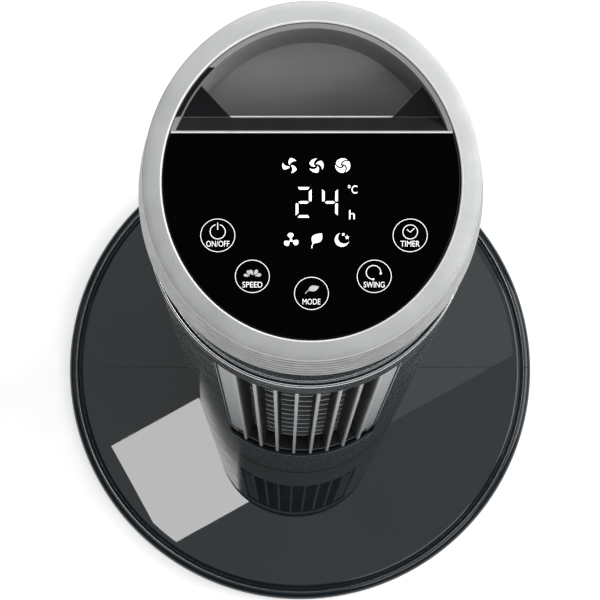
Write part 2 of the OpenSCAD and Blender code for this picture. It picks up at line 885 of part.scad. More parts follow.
// Cable from the mains board up to the head
module wiring_loom() {
  low = board_low + board_h - 6;
  high = slant_z(collar_low, 0) + 14;
  color("#1c1d1f") {
    at(loom_circle, loom_angle) {
      translate([0, 0, low]) cylinder(r = loom_r, h = high - low, $fn = 24);
      translate([0, 0, low]) sphere(r = loom_r, $fn = 24);
      translate([0, 0, high]) sphere(r = loom_r, $fn = 24);
    }
  }
}

// ---- Upper bearing ----

module bearing_plate() {
  front_cut = outlet_half + grille_tab + 2;
  rear_cut = intake_half + grille_tab + 2;
  color("#2a2d30")
    difference() {
      union() {
        tube(fitted_r, stub_r + 3, bearing_low, bearing_low + 3);
        tube(damper_r + 3, damper_r + seat_gap, bearing_low, bearing_low + 12);
      }
      sector(tower_r, tie_r - 1, bearing_low - 1, bearing_low + 20, -front_cut, front_cut);
      sector(tower_r, intake_in - 1.2, bearing_low - 1, bearing_low + 20, 180 - rear_cut, 180 + rear_cut);
      at(loom_circle, loom_angle)
        translate([0, 0, bearing_low - 1]) cylinder(r = loom_r + 1, h = 6, $fn = 32);
      for (side = [-1, 1])
        translate([side*joint_x - 5, -13, bearing_low - 1]) cube([10, 26, 10]);
    }
}

module bearing_damper() {
  color("#151515") tube(damper_r, 7 + seat_gap, bearing_low + 3, bearing_low + 12);
}

module bearing_bush() {
  color("#a8834a") tube(7, stub_r + 0.04, bearing_low + 3.5, bearing_low + 11.5);
}

// ---- Head ----

// Dark collar between the housing and the metal ring, with a tongue inside the housing
module top_collar() {
  color("#26292b") {
    intersection() {
      tube(collar_r, collar_r - collar_wall, tower_low, face_h + tower_r);
      slanted_layer(collar_low + 0.2, ring_low - 0.2);
    }
    intersection() {
      tube(inner_r - fit_gap, collar_r - collar_wall - 1, tower_low, face_h + tower_r);
      slanted_layer(collar_low - 12, collar_low + 6);
    }
  }
}

// Metal ring with a slanted face, as a skin swept round its sheared outline
module head_ring() {
  under = ring_h;
  outline = [[tower_r, -under], [tower_r, -under + 1.2], [face_r + 0.25, -0.9], [face_r - 0.5, 0],
    [window_r + 0.4, 0], [window_r, -0.4], [window_r, -panel_under], [face_r - 2.2, -panel_under],
    [tower_r - 2.2, -under]];
  corners = len(outline);
  turns = 120;
  points = [for (k = [0:turns - 1]) for (p = outline)
    let (a = k*360/turns)
    [p[0]*sin(a), -p[0]*cos(a), face_h + p[1] - tan(slant)*p[0]*cos(a)]];
  faces = [for (k = [0:turns - 1]) for (i = [0:corners - 1])
    let (n = (k + 1)%turns, j = (i + 1)%corners)
    [k*corners + i, k*corners + j, n*corners + j, n*corners + i]];
  color("#a8abae") polyhedron(points = points, faces = faces, convexity = 6);
}

// Ledge that the ring and the panel sit on, with a skirt down into the collar
module top_frame() {
  skirt_r = face_r - 2.6;
  color("#1c1d1f")
    difference() {
      union() {
        intersection() {
          tube(skirt_r - 0.1, insert_r - 7, tower_low, face_h + tower_r);
          slanted_layer(deck_top - deck_t/cos(slant), deck_top);
        }
        intersection() {
          tube(skirt_r, skirt_r - 2, tower_low, face_h + tower_r);
          slanted_layer(ring_low - 12, deck_top - 0.2);
        }
      }
      intersection() {
        cylinder(r = insert_r + 0.2, h = face_h + tower_r);
        translate([-tower_r, pocket_front - 4, 0]) cube([tower_d, tower_d, 2*face_h]);
      }
    }
}

// Tub that fingers reach into, with the grip bar along its front
module handle_pocket() {
  low = face_h - pocket_depth + 9;      // height of the tub's flat bottom
  slope_y = 22;                         // y at which its floor starts to rise
  far = 2*tower_r;
  lip = panel_edge + 4.7;               // where the grip bar's bevel ends, up the slope
  bar_under = panel_under + bar_t;
  skin = pocket_wall*0.42;              // shift that keeps the sloping floor's thickness
  color("#3c3d3f")
    difference() {
      intersection() {
        cylinder(r = insert_r, h = face_h + tower_r);
        side_extrude([
          face_point(pocket_front/cos(slant) - 4, seat_depth),
          face_point(panel_edge + 0.15, seat_depth),
          face_point(panel_edge + 0.15, panel_drop),
          face_point(far, panel_drop),
          [far, low - pocket_wall + (far - slope_y + skin)*tan(pocket_slope)],
          [slope_y - skin, low - pocket_wall],
          [pocket_front - pocket_wall, low - pocket_wall]]);
      }
      intersection() {
        cylinder(r = pocket_in, h = face_h + tower_r);
        union() {
          intersection() {
            side_extrude([
              face_point(lip, panel_drop - 20),
              face_point(lip, bar_under - 3),
              face_point(lip - 0.6, bar_under),
              [pocket_front, face_point(pocket_front/cos(slant), bar_under)[1]],
              [pocket_front, low],
              [slope_y, low],
              [far, low + (far - slope_y)*tan(pocket_slope)],
              [far, face_h + far]]);
            linear_extrude(height = 2*face_h)
              polygon([[-pocket_half, 0], [pocket_half, 0], [pocket_half, pocket_half - 6],
                [tower_r, tower_r - 6], [tower_r, tower_r], [-tower_r, tower_r],
                [-tower_r, tower_r - 6], [-pocket_half, pocket_half - 6]]);
          }
          side_extrude([
            face_point(lip - 7.2, panel_drop - 3),
            face_point(lip + 0.2, bar_under - 2.8),
            face_point(far, bar_under - 2.8),
            face_point(far, panel_drop - 3)]);
        }
      }
    }
}

// Glossy black sheet with the keys and the display behind it
module control_panel() {
  color("#08090a")
    union() {
      intersection() {
        cylinder(r = insert_r, h = face_h + tower_r);
        side_extrude([
          face_point(-2*tower_r, panel_drop), face_point(panel_edge, panel_drop),
          face_point(panel_edge, panel_under), face_point(-2*tower_r, panel_under)]);
      }
      for (p = BOARD_SCREWS)
        on_face(p[0], p[1], board_depth)
          difference() {
            cylinder(r = 2.8, h = spring_h + 0.5, $fn = 32);
            translate([0, 0, -1]) cylinder(r = 1.1, h = spring_h, $fn = 24);
          }
    }
}

module control_board() {
  color("#2f6b3a")
    difference() {
      intersection() {
        cylinder(r = board_r, h = face_h + tower_r);
        side_extrude([
          face_point(-2*tower_r, board_depth), face_point(board_edge, board_depth),
          face_point(board_edge, board_under), face_point(-2*tower_r, board_under)]);
      }
      for (p = BOARD_SCREWS)
        on_face(p[0], p[1], board_under + 1)
          cylinder(r = 1.4, h = board_t + 2, $fn = 24);
    }
}

module display_module() {
  color("#101214")
    on_face(-14, -29, board_depth) cube([34, board_edge + 28.8, spring_h - 0.2]);
}

// Sensor springs under the keys, each as a sleeve of its outer size
module touch_springs() {
  color("gold")
    for (p = KEYS)
      on_face(p[0], p[1], board_depth)
        difference() {
          cylinder(r = 4, h = spring_h, $fn = 32);
          translate([0, 0, -1]) cylinder(r = 3, h = spring_h + 2, $fn = 32);
        }
}

module board_screws() {
  color("silver")
    for (p = BOARD_SCREWS)
      on_face(p[0], p[1], board_under)
        rotate([180, 0, 0]) screw(1.05, 5.5, 2.4, 1.6);
}

base_front_shell();
base_rear_shell();
swivel_pedestal();
base_nut();
base_screws();
rubber_feet();
cord_gland();
swivel_washer();
swing_gear();
gear_clip();
tower_foot();
swing_motor();
swing_motor_screws();
swing_shaft();
swing_pinion();
front_housing();
rear_housing();
housing_screws();
front_grille();
intake_grille();
scroll_duct();
vortex_tongue();
motor_bracket();
motor_lower_shield();
motor_upper_shield();
stator_core();
stator_windings();
motor_bushes();
motor_mounts();
motor_screws();
motor_capacitor();
power_board();
motor_shaft();
rotor_core();
impeller_hub();
hub_bush();
hub_screw();
impeller();
stub_shaft();
bearing_bush();
bearing_damper();
bearing_plate();
wiring_loom();
top_collar();
top_frame();
head_ring();
handle_pocket();
control_panel();
control_board();
display_module();
touch_springs();
board_screws();
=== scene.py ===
import json
import math

import bmesh
import bpy
from mathutils import Matrix, Vector


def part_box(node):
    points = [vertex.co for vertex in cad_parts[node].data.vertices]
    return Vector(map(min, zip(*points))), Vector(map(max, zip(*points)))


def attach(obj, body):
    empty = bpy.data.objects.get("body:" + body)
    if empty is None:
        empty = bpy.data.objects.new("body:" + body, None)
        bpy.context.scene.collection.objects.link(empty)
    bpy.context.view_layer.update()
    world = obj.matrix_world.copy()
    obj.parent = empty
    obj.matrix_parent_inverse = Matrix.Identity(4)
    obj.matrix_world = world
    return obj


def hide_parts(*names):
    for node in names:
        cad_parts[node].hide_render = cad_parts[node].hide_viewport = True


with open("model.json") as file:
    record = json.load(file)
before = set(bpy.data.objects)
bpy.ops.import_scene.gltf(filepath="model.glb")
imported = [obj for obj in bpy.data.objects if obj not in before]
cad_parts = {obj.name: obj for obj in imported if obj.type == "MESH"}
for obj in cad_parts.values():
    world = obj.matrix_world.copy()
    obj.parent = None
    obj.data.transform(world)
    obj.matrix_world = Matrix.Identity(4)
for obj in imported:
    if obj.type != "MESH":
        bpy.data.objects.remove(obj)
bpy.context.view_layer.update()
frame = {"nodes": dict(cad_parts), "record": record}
scene = bpy.context.scene

MM = 0.001
SLANT = math.radians(24.7)
RISE = math.tan(SLANT)
TURN = 2 * math.pi

# Sizes in millimetres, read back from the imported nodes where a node's box gives them.
# _R is a radius, _LOW, _MID, _TOP and _H are heights over the floor, _HALF is half an angle.
TOWER_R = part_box("rear_housing")[1].y / MM
TOWER_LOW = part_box("front_housing")[0].z / MM
BASE_R = -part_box("base_front_shell")[0].y / MM
BASE_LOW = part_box("base_front_shell")[0].z / MM
BASE_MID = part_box("base_front_shell")[1].z / MM
FOOT_CIRCLE_R = BASE_R - 21
RING_TAPER = 3
FACE_R = TOWER_R - RING_TAPER
# The ring's highest point is its rear edge, which a chamfer sets in by half a millimetre
FACE_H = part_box("head_ring")[1].z / MM - RISE * (FACE_R - 0.5)
WINDOW_R = FACE_R - 7.5
WALL = 2.2
INNER_R = TOWER_R - WALL
RING_HEIGHT = 32.3
COLLAR_HEIGHT = 58.7
RING_LOW = FACE_H - RING_HEIGHT
COLLAR_LOW = RING_LOW - COLLAR_HEIGHT
OUTLET_LOW = 188
OUTLET_TOP = COLLAR_LOW - 32
OUTLET_HALF = math.radians(37.4)
INTAKE_LOW = OUTLET_LOW + 14
INTAKE_TOP = OUTLET_TOP - 6
INTAKE_HALF = math.radians(52)
SEAM = 0.15
SEAM_SHOWN = 0.05
LATHE_STEPS = 144
NO_CEILING = 1e4

# ---- Meshes ----


def slanted(height, y):
    """Height over y of a slanted plane that crosses the axis at height."""
    return height + RISE * y


def polar(radius, angle):
    """Plan point at an angle counted from the front towards +X."""
    return radius * math.sin(angle), -radius * math.cos(angle)


def spread(first, last, count):
    """Evenly spaced values, both ends included."""
    return [first + (last - first) * i / (count - 1) for i in range(count)]


def piece(name, points, faces, finishes, marks=None, sharp=38):
    """A closed piece from points in millimetres; marks gives each face's finish."""
    mesh = bpy.data.meshes.new(name)
    mesh.from_pydata([Vector(p) * MM for p in points], [], faces)
    for finish in finishes:
        mesh.materials.append(finish)
    if marks:
        mesh.polygons.foreach_set("material_index", marks)
    obj = bpy.data.objects.new(name, mesh)
    scene.collection.objects.link(obj)
    bm = bmesh.new()
    bm.from_mesh(mesh)
    bmesh.ops.remove_doubles(bm, verts=bm.verts, dist=0.002 * MM)
    bmesh.ops.dissolve_degenerate(bm, edges=bm.edges, dist=0.001 * MM)
    bmesh.ops.recalc_face_normals(bm, faces=bm.faces)
    soften(bm, sharp)
    bm.to_mesh(mesh)
    bm.free()
    return obj


def soften(bm, sharp):
    """Smooth shading that stops at edges bent more than sharp degrees."""
    limit = math.radians(sharp)
    for face in bm.faces:
        face.smooth = True
    for edge in bm.edges:
        edge.smooth = len(edge.link_faces) != 2 or edge.calc_face_angle(0) < limit


def edges(obj, width=0, segments=2, angle=50):
    """Rounds a piece's edges and keeps its broad faces' shading true."""
    if width:
        bevel = obj.modifiers.new("rounded edges", "BEVEL")
        bevel.width = width * MM
        bevel.segments = segments
        bevel.limit_method = "ANGLE"
        bevel.angle_limit = math.radians(angle)
    normals = obj.modifiers.new("broad faces", "WEIGHTED_NORMAL")
    normals.keep_sharp = True
    return obj


def filleted(outline, radii, steps=3):
    """A closed outline with rounded corners; radii is one radius, or one for each corner."""
    rounded = []
    for i, corner in enumerate(outline):
        radius = radii[i] if isinstance(radii, list) else radii
        p = Vector(corner)
        back, ahead = Vector(outline[i - 1]) - p, Vector(outline[(i + 1) % len(outline)]) - p
        bend = back.angle(ahead)
        if radius == 0 or bend > math.pi - 0.06:
            rounded.append(tuple(p))
            continue
        reach = min(radius / math.tan(bend / 2), 0.45 * back.length, 0.45 * ahead.length)
        start, end = p + back.normalized() * reach, p + ahead.normalized() * reach
        for t in spread(0, 1, steps + 1):
            rounded.append(tuple(start * (1 - t) ** 2 + p * 2 * t * (1 - t) + end * t * t))
    return rounded


def sweep(sections, around):
    """Faces between closed outlines that follow each other; around joins the last to the first."""
    size, count = len(sections[0]), len(sections)
    points = [p for section in sections for p in section]
    faces = []
    for i in range(count if around else count - 1):
        j = (i + 1) % count
        for k in range(size):
            m = (k + 1) % size
            faces.append((i * size + k, j * size + k, j * size + m, i * size + m))
    if not around:
        faces.append(tuple(range(size)))
        faces.append(tuple(range(count * size - 1, (count - 1) * size - 1, -1)))
    return points, faces


def lathe(outline, angles=None, slope=0):
    """Turns an outline of (radius, height) round the axis; slope shears it up towards the rear."""
    around = angles is None
    angles = [TURN * i / LATHE_STEPS for i in range(LATHE_STEPS)] if around else angles
    sections = []
    for a in angles:
        section = []
        for radius, height in outline:
            x, y = polar(radius, a)
            section.append((x, y, height + slope * y))
        sections.append(section)
    return sweep(sections, around)


def prism(outline, low, high):
    """Upright prism on a plan outline."""
    return sweep([[(x, y, low) for x, y in outline], [(x, y, high) for x, y in outline]], False)


def moved(shape, turn=Matrix.Identity(4), place=(0, 0, 0)):
    """A shape's points turned about the origin, then moved."""
    points, faces = shape
    return [tuple(turn @ Vector(p) + Vector(place)) for p in points], faces


def shell(angles, levels, outer, inner, solid):
    """Curved wall made of cells; levels are (height, slope), solid(i, j) tells which are there."""
    points, index = [], {}

    def corner(radius, i, j):
        key = (radius, i, j)
        if key not in index:
            x, y = polar(radius, angles[i])
            index[key] = len(points)
            points.append((x, y, levels[j][0] + levels[j][1] * y))
        return index[key]

    cells = [(i, j) for i in range(len(angles) - 1) for j in range(len(levels) - 1) if solid(i, j)]
    held, faces = set(cells), []
    for i, j in cells:
        ring = ((i, j), (i + 1, j), (i + 1, j + 1), (i, j + 1))
        for radius in (outer, inner):
            faces.append(tuple(corner(radius, *c) for c in ring))
        sides = (((i, j - 1), 0, 1), ((i + 1, j), 1, 2), ((i, j + 1), 2, 3), ((i - 1, j), 3, 0))
        for beyond, a, b in sides:
            if beyond not in held:
                a, b = ring[a], ring[b]
                faces.append((corner(outer, *a), corner(outer, *b),
                              corner(inner, *b), corner(inner, *a)))
    return points, faces


def join(name, parts):
    """One piece from several, each keeping its own finish."""
    with bpy.context.temp_override(active_object=parts[0], object=parts[0], selected_objects=parts,
                                   selected_editable_objects=parts):
        bpy.ops.object.join()
    parts[0].name = parts[0].data.name = name
    return parts[0]


def settled(obj):
    """A plain mesh of what an object's modifiers make, in the object's place."""
    bpy.context.view_layer.update()
    graph = bpy.context.evaluated_depsgraph_get()
    mesh = bpy.data.meshes.new_from_object(obj.evaluated_get(graph), depsgraph=graph)
    fresh = bpy.data.objects.new(obj.name, mesh)
    scene.collection.objects.link(fresh)
    bpy.data.objects.remove(obj)
    return fresh


def cut(obj, cutters):
    """Takes the cutters' volume out of a piece."""
    cutter = join("cutter", cutters)
    boolean = obj.modifiers.new("cut", "BOOLEAN")
    boolean.object = cutter
    boolean.solver = "EXACT"
    fresh = settled(obj)
    bpy.data.objects.remove(cutter)
    return fresh


# ---- Nodes ----


def add(tree, kind, inputs=None, **settings):
    """Adds a node; an input is a constant, or the socket that it takes its value from."""
    node = tree.nodes.new(kind)
    for key, value in settings.items():
        setattr(node, key, value)
    for key, value in (inputs or {}).items():
        if isinstance(value, bpy.types.NodeSocket):
            tree.links.new(value, node.inputs[key])
        else:
            node.inputs[key].default_value = value
    return node


def repeat_tree():
    """Copies a piece round the axis and up it, then holds the copies under a slanted ceiling."""
    tree = bpy.data.node_groups.new("Repeat round the axis", "GeometryNodeTree")
    for name, kind in (("Geometry", "Geometry"), ("Count", "Int"), ("First angle", "Float"),
                       ("Angle step", "Float"), ("Rows", "Int"), ("Row step", "Float"),
                       ("Ceiling", "Float"), ("Ceiling slope", "Float"), ("Finish", "Material")):
        tree.interface.new_socket(name, in_out="INPUT", socket_type="NodeSocket" + kind)
    tree.interface.new_socket("Geometry", in_out="OUTPUT", socket_type="NodeSocketGeometry")
    given = add(tree, "NodeGroupInput").outputs
    index = add(tree, "GeometryNodeInputIndex").outputs[0]

    def sum_of(operation, *values):
        return add(tree, "ShaderNodeMath", dict(enumerate(values)), operation=operation).outputs[0]

    column = sum_of("MODULO", index, given["Count"])
    row = sum_of("FLOOR", sum_of("DIVIDE", sum_of("ADD", index, 0.5), given["Count"]))
    angle = sum_of("MULTIPLY_ADD", column, given["Angle step"], given["First angle"])
    height = sum_of("MULTIPLY", row, given["Row step"])
    place = add(tree, "ShaderNodeCombineXYZ", {"Z": height}).outputs[0]
    turn = add(tree, "ShaderNodeCombineXYZ", {"Z": angle}).outputs[0]
    total = sum_of("MULTIPLY", given["Count"], given["Rows"])
    points = add(tree, "GeometryNodePoints", {"Count": total, "Position": place}).outputs[0]
    copies = add(tree, "GeometryNodeInstanceOnPoints",
                 {"Points": points, "Instance": given["Geometry"], "Rotation": turn}).outputs[0]
    real = add(tree, "GeometryNodeRealizeInstances", {"Geometry": copies}).outputs[0]
    position = add(tree, "GeometryNodeInputPosition").outputs[0]
    here = add(tree, "ShaderNodeSeparateXYZ", {0: position}).outputs
    limit = sum_of("MULTIPLY_ADD", here["Y"], given["Ceiling slope"], given["Ceiling"])
    lowered = sum_of("MINIMUM", here["Z"], limit)
    held = add(tree, "ShaderNodeCombineXYZ",
               {"X": here["X"], "Y": here["Y"], "Z": lowered}).outputs[0]
    trimmed = add(tree, "GeometryNodeSetPosition", {"Geometry": real, "Position": held}).outputs[0]
    done = add(tree, "GeometryNodeSetMaterial",
               {"Geometry": trimmed, "Material": given["Finish"]}).outputs[0]
    add(tree, "NodeGroupOutput", {0: done})
    return tree


REPEAT = repeat_tree()


def repeated(obj, finish, count=1, first=0.0, step=0.0, rows=1, rise=0.0,
             ceiling=NO_CEILING, slope=0.0):
    """Repeats a piece, with angles in radians and heights in millimetres."""
    values = {"Count": count, "First angle": first, "Angle step": step,
              "Rows": rows, "Row step": rise * MM,
              "Ceiling": ceiling * MM, "Ceiling slope": slope, "Finish": finish}
    maker = obj.modifiers.new("repeat", "NODES")
    maker.node_group = REPEAT
    for item in REPEAT.interface.items_tree:
        if item.item_type == "SOCKET" and item.in_out == "INPUT" and item.name in values:
            maker[item.identifier] = values[item.name]
    return settled(obj)


# ---- Finishes ----


def linear(code):
    """Linear colour of an sRGB hex value."""
    channels = [int(code[i:i + 2], 16) / 255 for i in (1, 3, 5)]
    return [c / 12.92 if c <= 0.04045 else ((c + 0.055) / 1.055) ** 2.4 for c in channels] + [1.0]


def per_metre(size):
    """Noise scale whose spots are about size millimetres wide."""
    return 1 / (size * MM)


def surface(name, dark, light, rough, spot=25, grain=0.5, depth=0.02, pattern=None, **shader):
    """A finish: colour between two shades in spots, roughness in its own spots, and a grain.

    rough is (lowest, highest); spot, grain and depth are millimetres; pattern(tree, where)
    returns the height that takes the grain's place."""
    material = bpy.data.materials.new(name)
    material.use_nodes = True
    tree = material.node_tree
    tree.nodes.clear()
    where = add(tree, "ShaderNodeTexCoord").outputs["Object"]
    spots = add(tree, "ShaderNodeTexNoise",
                {"Vector": where, "Scale": per_metre(spot), "Detail": 3.0})
    shade = add(tree, "ShaderNodeValToRGB", {"Fac": spots.outputs["Fac"]})
    for stop, position, code in zip(shade.color_ramp.elements, (0.35, 0.65), (dark, light)):
        stop.position, stop.color = position, linear(code)
    wear = add(tree, "ShaderNodeTexNoise",
               {"Vector": where, "Scale": per_metre(spot * 0.4), "Detail": 5.0})
    gloss = add(tree, "ShaderNodeMapRange",
                {"Value": wear.outputs["Fac"], "From Min": 0.3, "From Max": 0.7,
                 "To Min": rough[0], "To Max": rough[1]})
    if pattern:
        height = pattern(tree, where)
    else:
        height = add(tree, "ShaderNodeTexNoise",
                     {"Vector": where, "Scale": per_metre(grain), "Detail": 2.0}).outputs["Fac"]
    bump = add(tree, "ShaderNodeBump", {"Height": height, "Strength": 1.0, "Distance": depth * MM})
    bsdf = add(tree, "ShaderNodeBsdfPrincipled", {"Base Color": shade.outputs["Color"],
                                                  "Roughness": gloss.outputs["Result"],
                                                  "Normal": bump.outputs["Normal"]})
    for key, value in shader.items():
        bsdf.inputs[key.replace("_", " ")].default_value = value
    add(tree, "ShaderNodeOutputMaterial", {"Surface": bsdf.outputs["BSDF"]})
    return material


# Length of one wave in the wave texture at scale 1
WAVE_LENGTH = 0.314


def lines(pitch, kind="BANDS", direction="Z", waver=0.4):
    """Height of fine parallel lines, pitch millimetres apart."""
    settings = {"wave_type": kind, kind.lower() + "_direction": direction}

    def pattern(tree, where):
        return add(tree, "ShaderNodeTexWave",
                   {"Vector": where, "Scale": WAVE_LENGTH / (pitch * MM),
                    "Distortion": waver, "Detail": 2.0}, **settings).outputs["Fac"]

    return pattern


# High gloss moulded ABS: dark grey with a blue cast, mirror-like, with a faint flow ripple
GLOSS_ABS = surface("gloss_abs_anthracite", "#1a2125", "#1e2529", (0.0, 0.012), spot=60, grain=40,
                    depth=0.003, IOR=1.42)
# The same plastic on the tall housing: a little lighter and softer in its gloss
HOUSING_ABS = surface("gloss_abs_housing", "#1e2428", "#23292d", (0.07, 0.12), spot=45, grain=30,
                      depth=0.001, IOR=1.46)
# Near-white, almost mirror-like bead round the housing's mouth: a painted highlight along the
# mouth's edge
MOUTH_HIGHLIGHT_PAINT = surface("mouth_edge_painted_highlight", "#eceeef", "#f6f7f8", (0.12, 0.2), spot=8, grain=2,
                      depth=0.002, Metallic=0.9)
# The same plastic on the collar: glossier than the housing, duller than the base
COLLAR_ABS = surface("gloss_abs_collar", "#24282b", "#282c2f", (0.04, 0.08), spot=50, grain=30,
                     depth=0.001, IOR=1.42)
# Satin turned and anodised aluminium: pale grey with fine tool lines round the axis
TURNED_ALUMINIUM = surface("anodised_aluminium_turned", "#c8c9ca", "#d2d3d3", (0.36, 0.46),
                           spot=18, depth=0.02, pattern=lines(0.45, "RINGS"), Metallic=0.45)
# The ring's wall: turned metal, painted greyer than its face as shade on the upright wall
RING_WALL_PAINTED_SHADE = surface("aluminium_wall_painted_shade", "#7c7d7e", "#8a8b8c", (0.3, 0.42), spot=10,
                    depth=0.01, pattern=lines(0.6, "BANDS"), Metallic=0.9)
# Floor of the grooves round the wall: unpolished, painted dark as shade in the grooves
GROOVE_PAINTED_SHADE = surface("aluminium_groove_painted_shade", "#2a2a2b", "#3a3a3b", (0.4, 0.55), spot=6,
                      grain=0.5, depth=0.01, Metallic=0.5)
# Chamfer at the ring's inner edge: near-white and smooth, a painted highlight
CHAMFER_PAINTED_HIGHLIGHT = surface("ring_chamfer_painted_highlight", "#f2f3f4", "#ffffff", (0.22, 0.3),
                             spot=12, grain=1.2, depth=0.002, Metallic=0.0)
# Back-painted clear acrylic: deep black with a glassy top
BLACK_ACRYLIC = surface("acrylic_black_back_painted", "#010101", "#020202", (0.03, 0.07), spot=40,
                        grain=20, depth=0.004, IOR=1.36)
# Near-white strip on the acrylic's cut edge and along the grip bar: a painted highlight
EDGE_PAINTED_HIGHLIGHT = surface("edge_painted_highlight", "#ececec", "#f8f8f8", (0.15, 0.25), spot=6,
                       grain=0.8, depth=0.004, IOR=1.49)
# Fine sparked ABS: mid grey, dull, with a texture of about half a millimetre
SPARKED_ABS = surface("abs_grey_spark_texture", "#8c8c8d", "#949495", (0.5, 0.62), spot=30,
                      grain=0.5, depth=0.03, IOR=1.5)
# Polished ABS of the grip bar's bevel: dark and glossy
BEVEL_ABS = surface("abs_black_polished", "#18181a", "#1d1d1f", (0.08, 0.14), spot=30, grain=6,
                    depth=0.01, IOR=1.42)
# Screen printing ink: opaque white, slightly raised, dull, with a painted glow from its emission
INK_WITH_PAINTED_GLOW = surface("screen_printing_ink_white_painted_glow", "#f4f4f4", "#ffffff", (0.45, 0.6), spot=3,
                       grain=0.25, depth=0.006, Emission_Color=(1, 1, 1, 1),
                       Emission_Strength=0.55)
# The same ink, thinned to grey for two of the key symbols, with a fainter painted glow from its
# emission
GREY_INK_WITH_PAINTED_GLOW = surface("screen_printing_ink_grey_painted_glow", "#b4b4b4", "#c8c8c8", (0.45, 0.6), spot=1,
                   grain=0.25, depth=0.006, Emission_Color=(1, 1, 1, 1), Emission_Strength=0.18)
# Lit diffuser of the display's segments: even white light
LIT_DIFFUSER = surface("polycarbonate_diffuser_lit", "#fafafa", "#ffffff", (0.3, 0.4), spot=2,
                       grain=0.3, depth=0.004, Emission_Color=(1, 1, 1, 1), Emission_Strength=1.0)
# Silver lacquer on ABS: pale grey with metal flake of a quarter millimetre
SILVER_LACQUER = surface("lacquered_abs_silver", "#8f9396", "#a0a4a7", (0.28, 0.4), spot=1.2,
                         grain=0.3, depth=0.01, Metallic=0.5, Coat_Weight=0.4, Coat_Roughness=0.15)
# The same lacquer painted darker on the set-back cheeks, as shade in the recess
CHEEK_LACQUER_PAINTED_SHADE = surface("lacquered_abs_cheek_painted_shade", "#5e6265", "#6c7073", (0.3, 0.42), spot=1.5,
                        grain=0.3, depth=0.01, Metallic=0.4, Coat_Weight=0.3, Coat_Roughness=0.2)
# Near-black ABS on the slats' flanks and the grille's set-back flange, ledge and rail: painted
# shade between and behind the slats
GRILLE_PAINTED_SHADE = surface("abs_slat_flanks_painted_shade", "#17191b", "#1e2022", (0.35, 0.5), spot=10,
                       grain=0.5, depth=0.02, IOR=1.45)
# Dull black ABS inside the tower: moulded, unpolished
INNER_ABS = surface("abs_black_moulded", "#17181a", "#1f2022", (0.42, 0.6), spot=22, grain=0.6,
                    depth=0.03, IOR=1.5)
# Recycled grey polypropylene of the air path: waxy with slight clouding
DUCT_POLYPROPYLENE = surface("polypropylene_grey", "#4c5054", "#5c6064", (0.38, 0.55), spot=35,
                             grain=0.8, depth=0.02, IOR=1.49)
# Glass filled ABS of the impeller: near black with streaks
GLASS_FILLED_ABS = surface("abs_glass_filled_black", "#292b2d", "#3b3e40", (0.4, 0.58), spot=7,
                           grain=0.35, depth=0.03, IOR=1.52)
# Moulded rubber: black, dusty, matt
RUBBER = surface("rubber_moulded_black", "#101010", "#1b1b1b", (0.75, 0.92), spot=4, grain=0.3,
                 depth=0.04, IOR=1.5)
# Zinc plated steel: bright with a cool cast and drawing lines
PLATED_STEEL = surface("steel_zinc_plated", "#b9bec3", "#cfd3d7", (0.22, 0.36), spot=3, grain=0.3,
                       depth=0.004, Metallic=1.0)
# Die-cast zinc: grey, cloudy, with a cast skin
CAST_ZINC = surface("zinc_die_cast", "#8f9397", "#a7abae", (0.38, 0.55), spot=9, grain=0.9,
                    depth=0.03, Metallic=1.0)
# Stack of electrical steel sheets, half a millimetre each
LAMINATED_STEEL = surface("electrical_steel_laminated", "#63676b", "#7c8084", (0.35, 0.5), spot=5,
                          depth=0.12, pattern=lines(1.0), Metallic=1.0)
# Enamelled copper wire: orange brown turns, drawn 0.8 mm thick so that they show
COPPER_WIRE = surface("copper_wire_enamelled", "#8a4a1e", "#b46a30", (0.25, 0.4), spot=4,
                      depth=0.25, pattern=lines(0.8, "RINGS", "Z", 1.5), Metallic=0.7)
# Sintered bronze: brown gold with open pores
SINTERED_BRONZE = surface("bronze_sintered", "#8a6a35", "#a98548", (0.4, 0.55), spot=2, grain=0.25,
                          depth=0.03, Metallic=1.0)
# Natural nylon: milky white and slightly waxy
NYLON = surface("nylon_natural", "#d9d6cb", "#e6e3d8", (0.35, 0.5), spot=12, grain=0.6,
                depth=0.015, IOR=1.53)
# Glass epoxy board under green solder resist, with the weave telegraphing through
CIRCUIT_BOARD = surface("glass_epoxy_solder_resist", "#1d5a2c", "#27733a", (0.25, 0.4), spot=5,
                        depth=0.02, pattern=lines(0.6, "BANDS", "DIAGONAL", 0.2), IOR=1.55)
# Printed PVC sleeve of the capacitor
PVC_SLEEVE = surface("pvc_sleeve_black", "#17181b", "#222327", (0.3, 0.45), spot=9, grain=0.5,
                     depth=0.02, IOR=1.53)

SLOT_FINISH = {
    "gloss_anthracite": GLOSS_ABS, "collar_gloss": COLLAR_ABS, "ring_metal": TURNED_ALUMINIUM,
    "panel_black": BLACK_ACRYLIC, "pocket_grey": SPARKED_ABS, "inner_black": INNER_ABS,
    "grille_silver": SILVER_LACQUER, "duct_grey": DUCT_POLYPROPYLENE, "rubber_black": RUBBER,
    "steel": PLATED_STEEL, "motor_zinc": CAST_ZINC, "bronze": SINTERED_BRONZE,
    "nylon_white": NYLON, "board_green": CIRCUIT_BOARD, "capacitor_black": PVC_SLEEVE}
NODE_FINISH = {"stator_core": LAMINATED_STEEL, "rotor_core": LAMINATED_STEEL,
               "stator_windings": COPPER_WIRE, "impeller": GLASS_FILLED_ABS,
               "display_module": LIT_DIFFUSER}
for entry in frame["record"]["subparts"]:
    finish = NODE_FINISH.get(entry["node"], SLOT_FINISH[entry["material_slot"]])
    for held in frame["nodes"][entry["node"]].material_slots:
        held.material = finish


def place(obj, body, slot_name, *nodes):
    """Hands a piece to its body, in place of its CAD nodes."""
    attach(obj, body)
    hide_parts(*nodes)
    return obj


# ---- Base ----

RIM = BASE_MID - 0.5
BEAD_R = 4.5
OPENING_R = 34


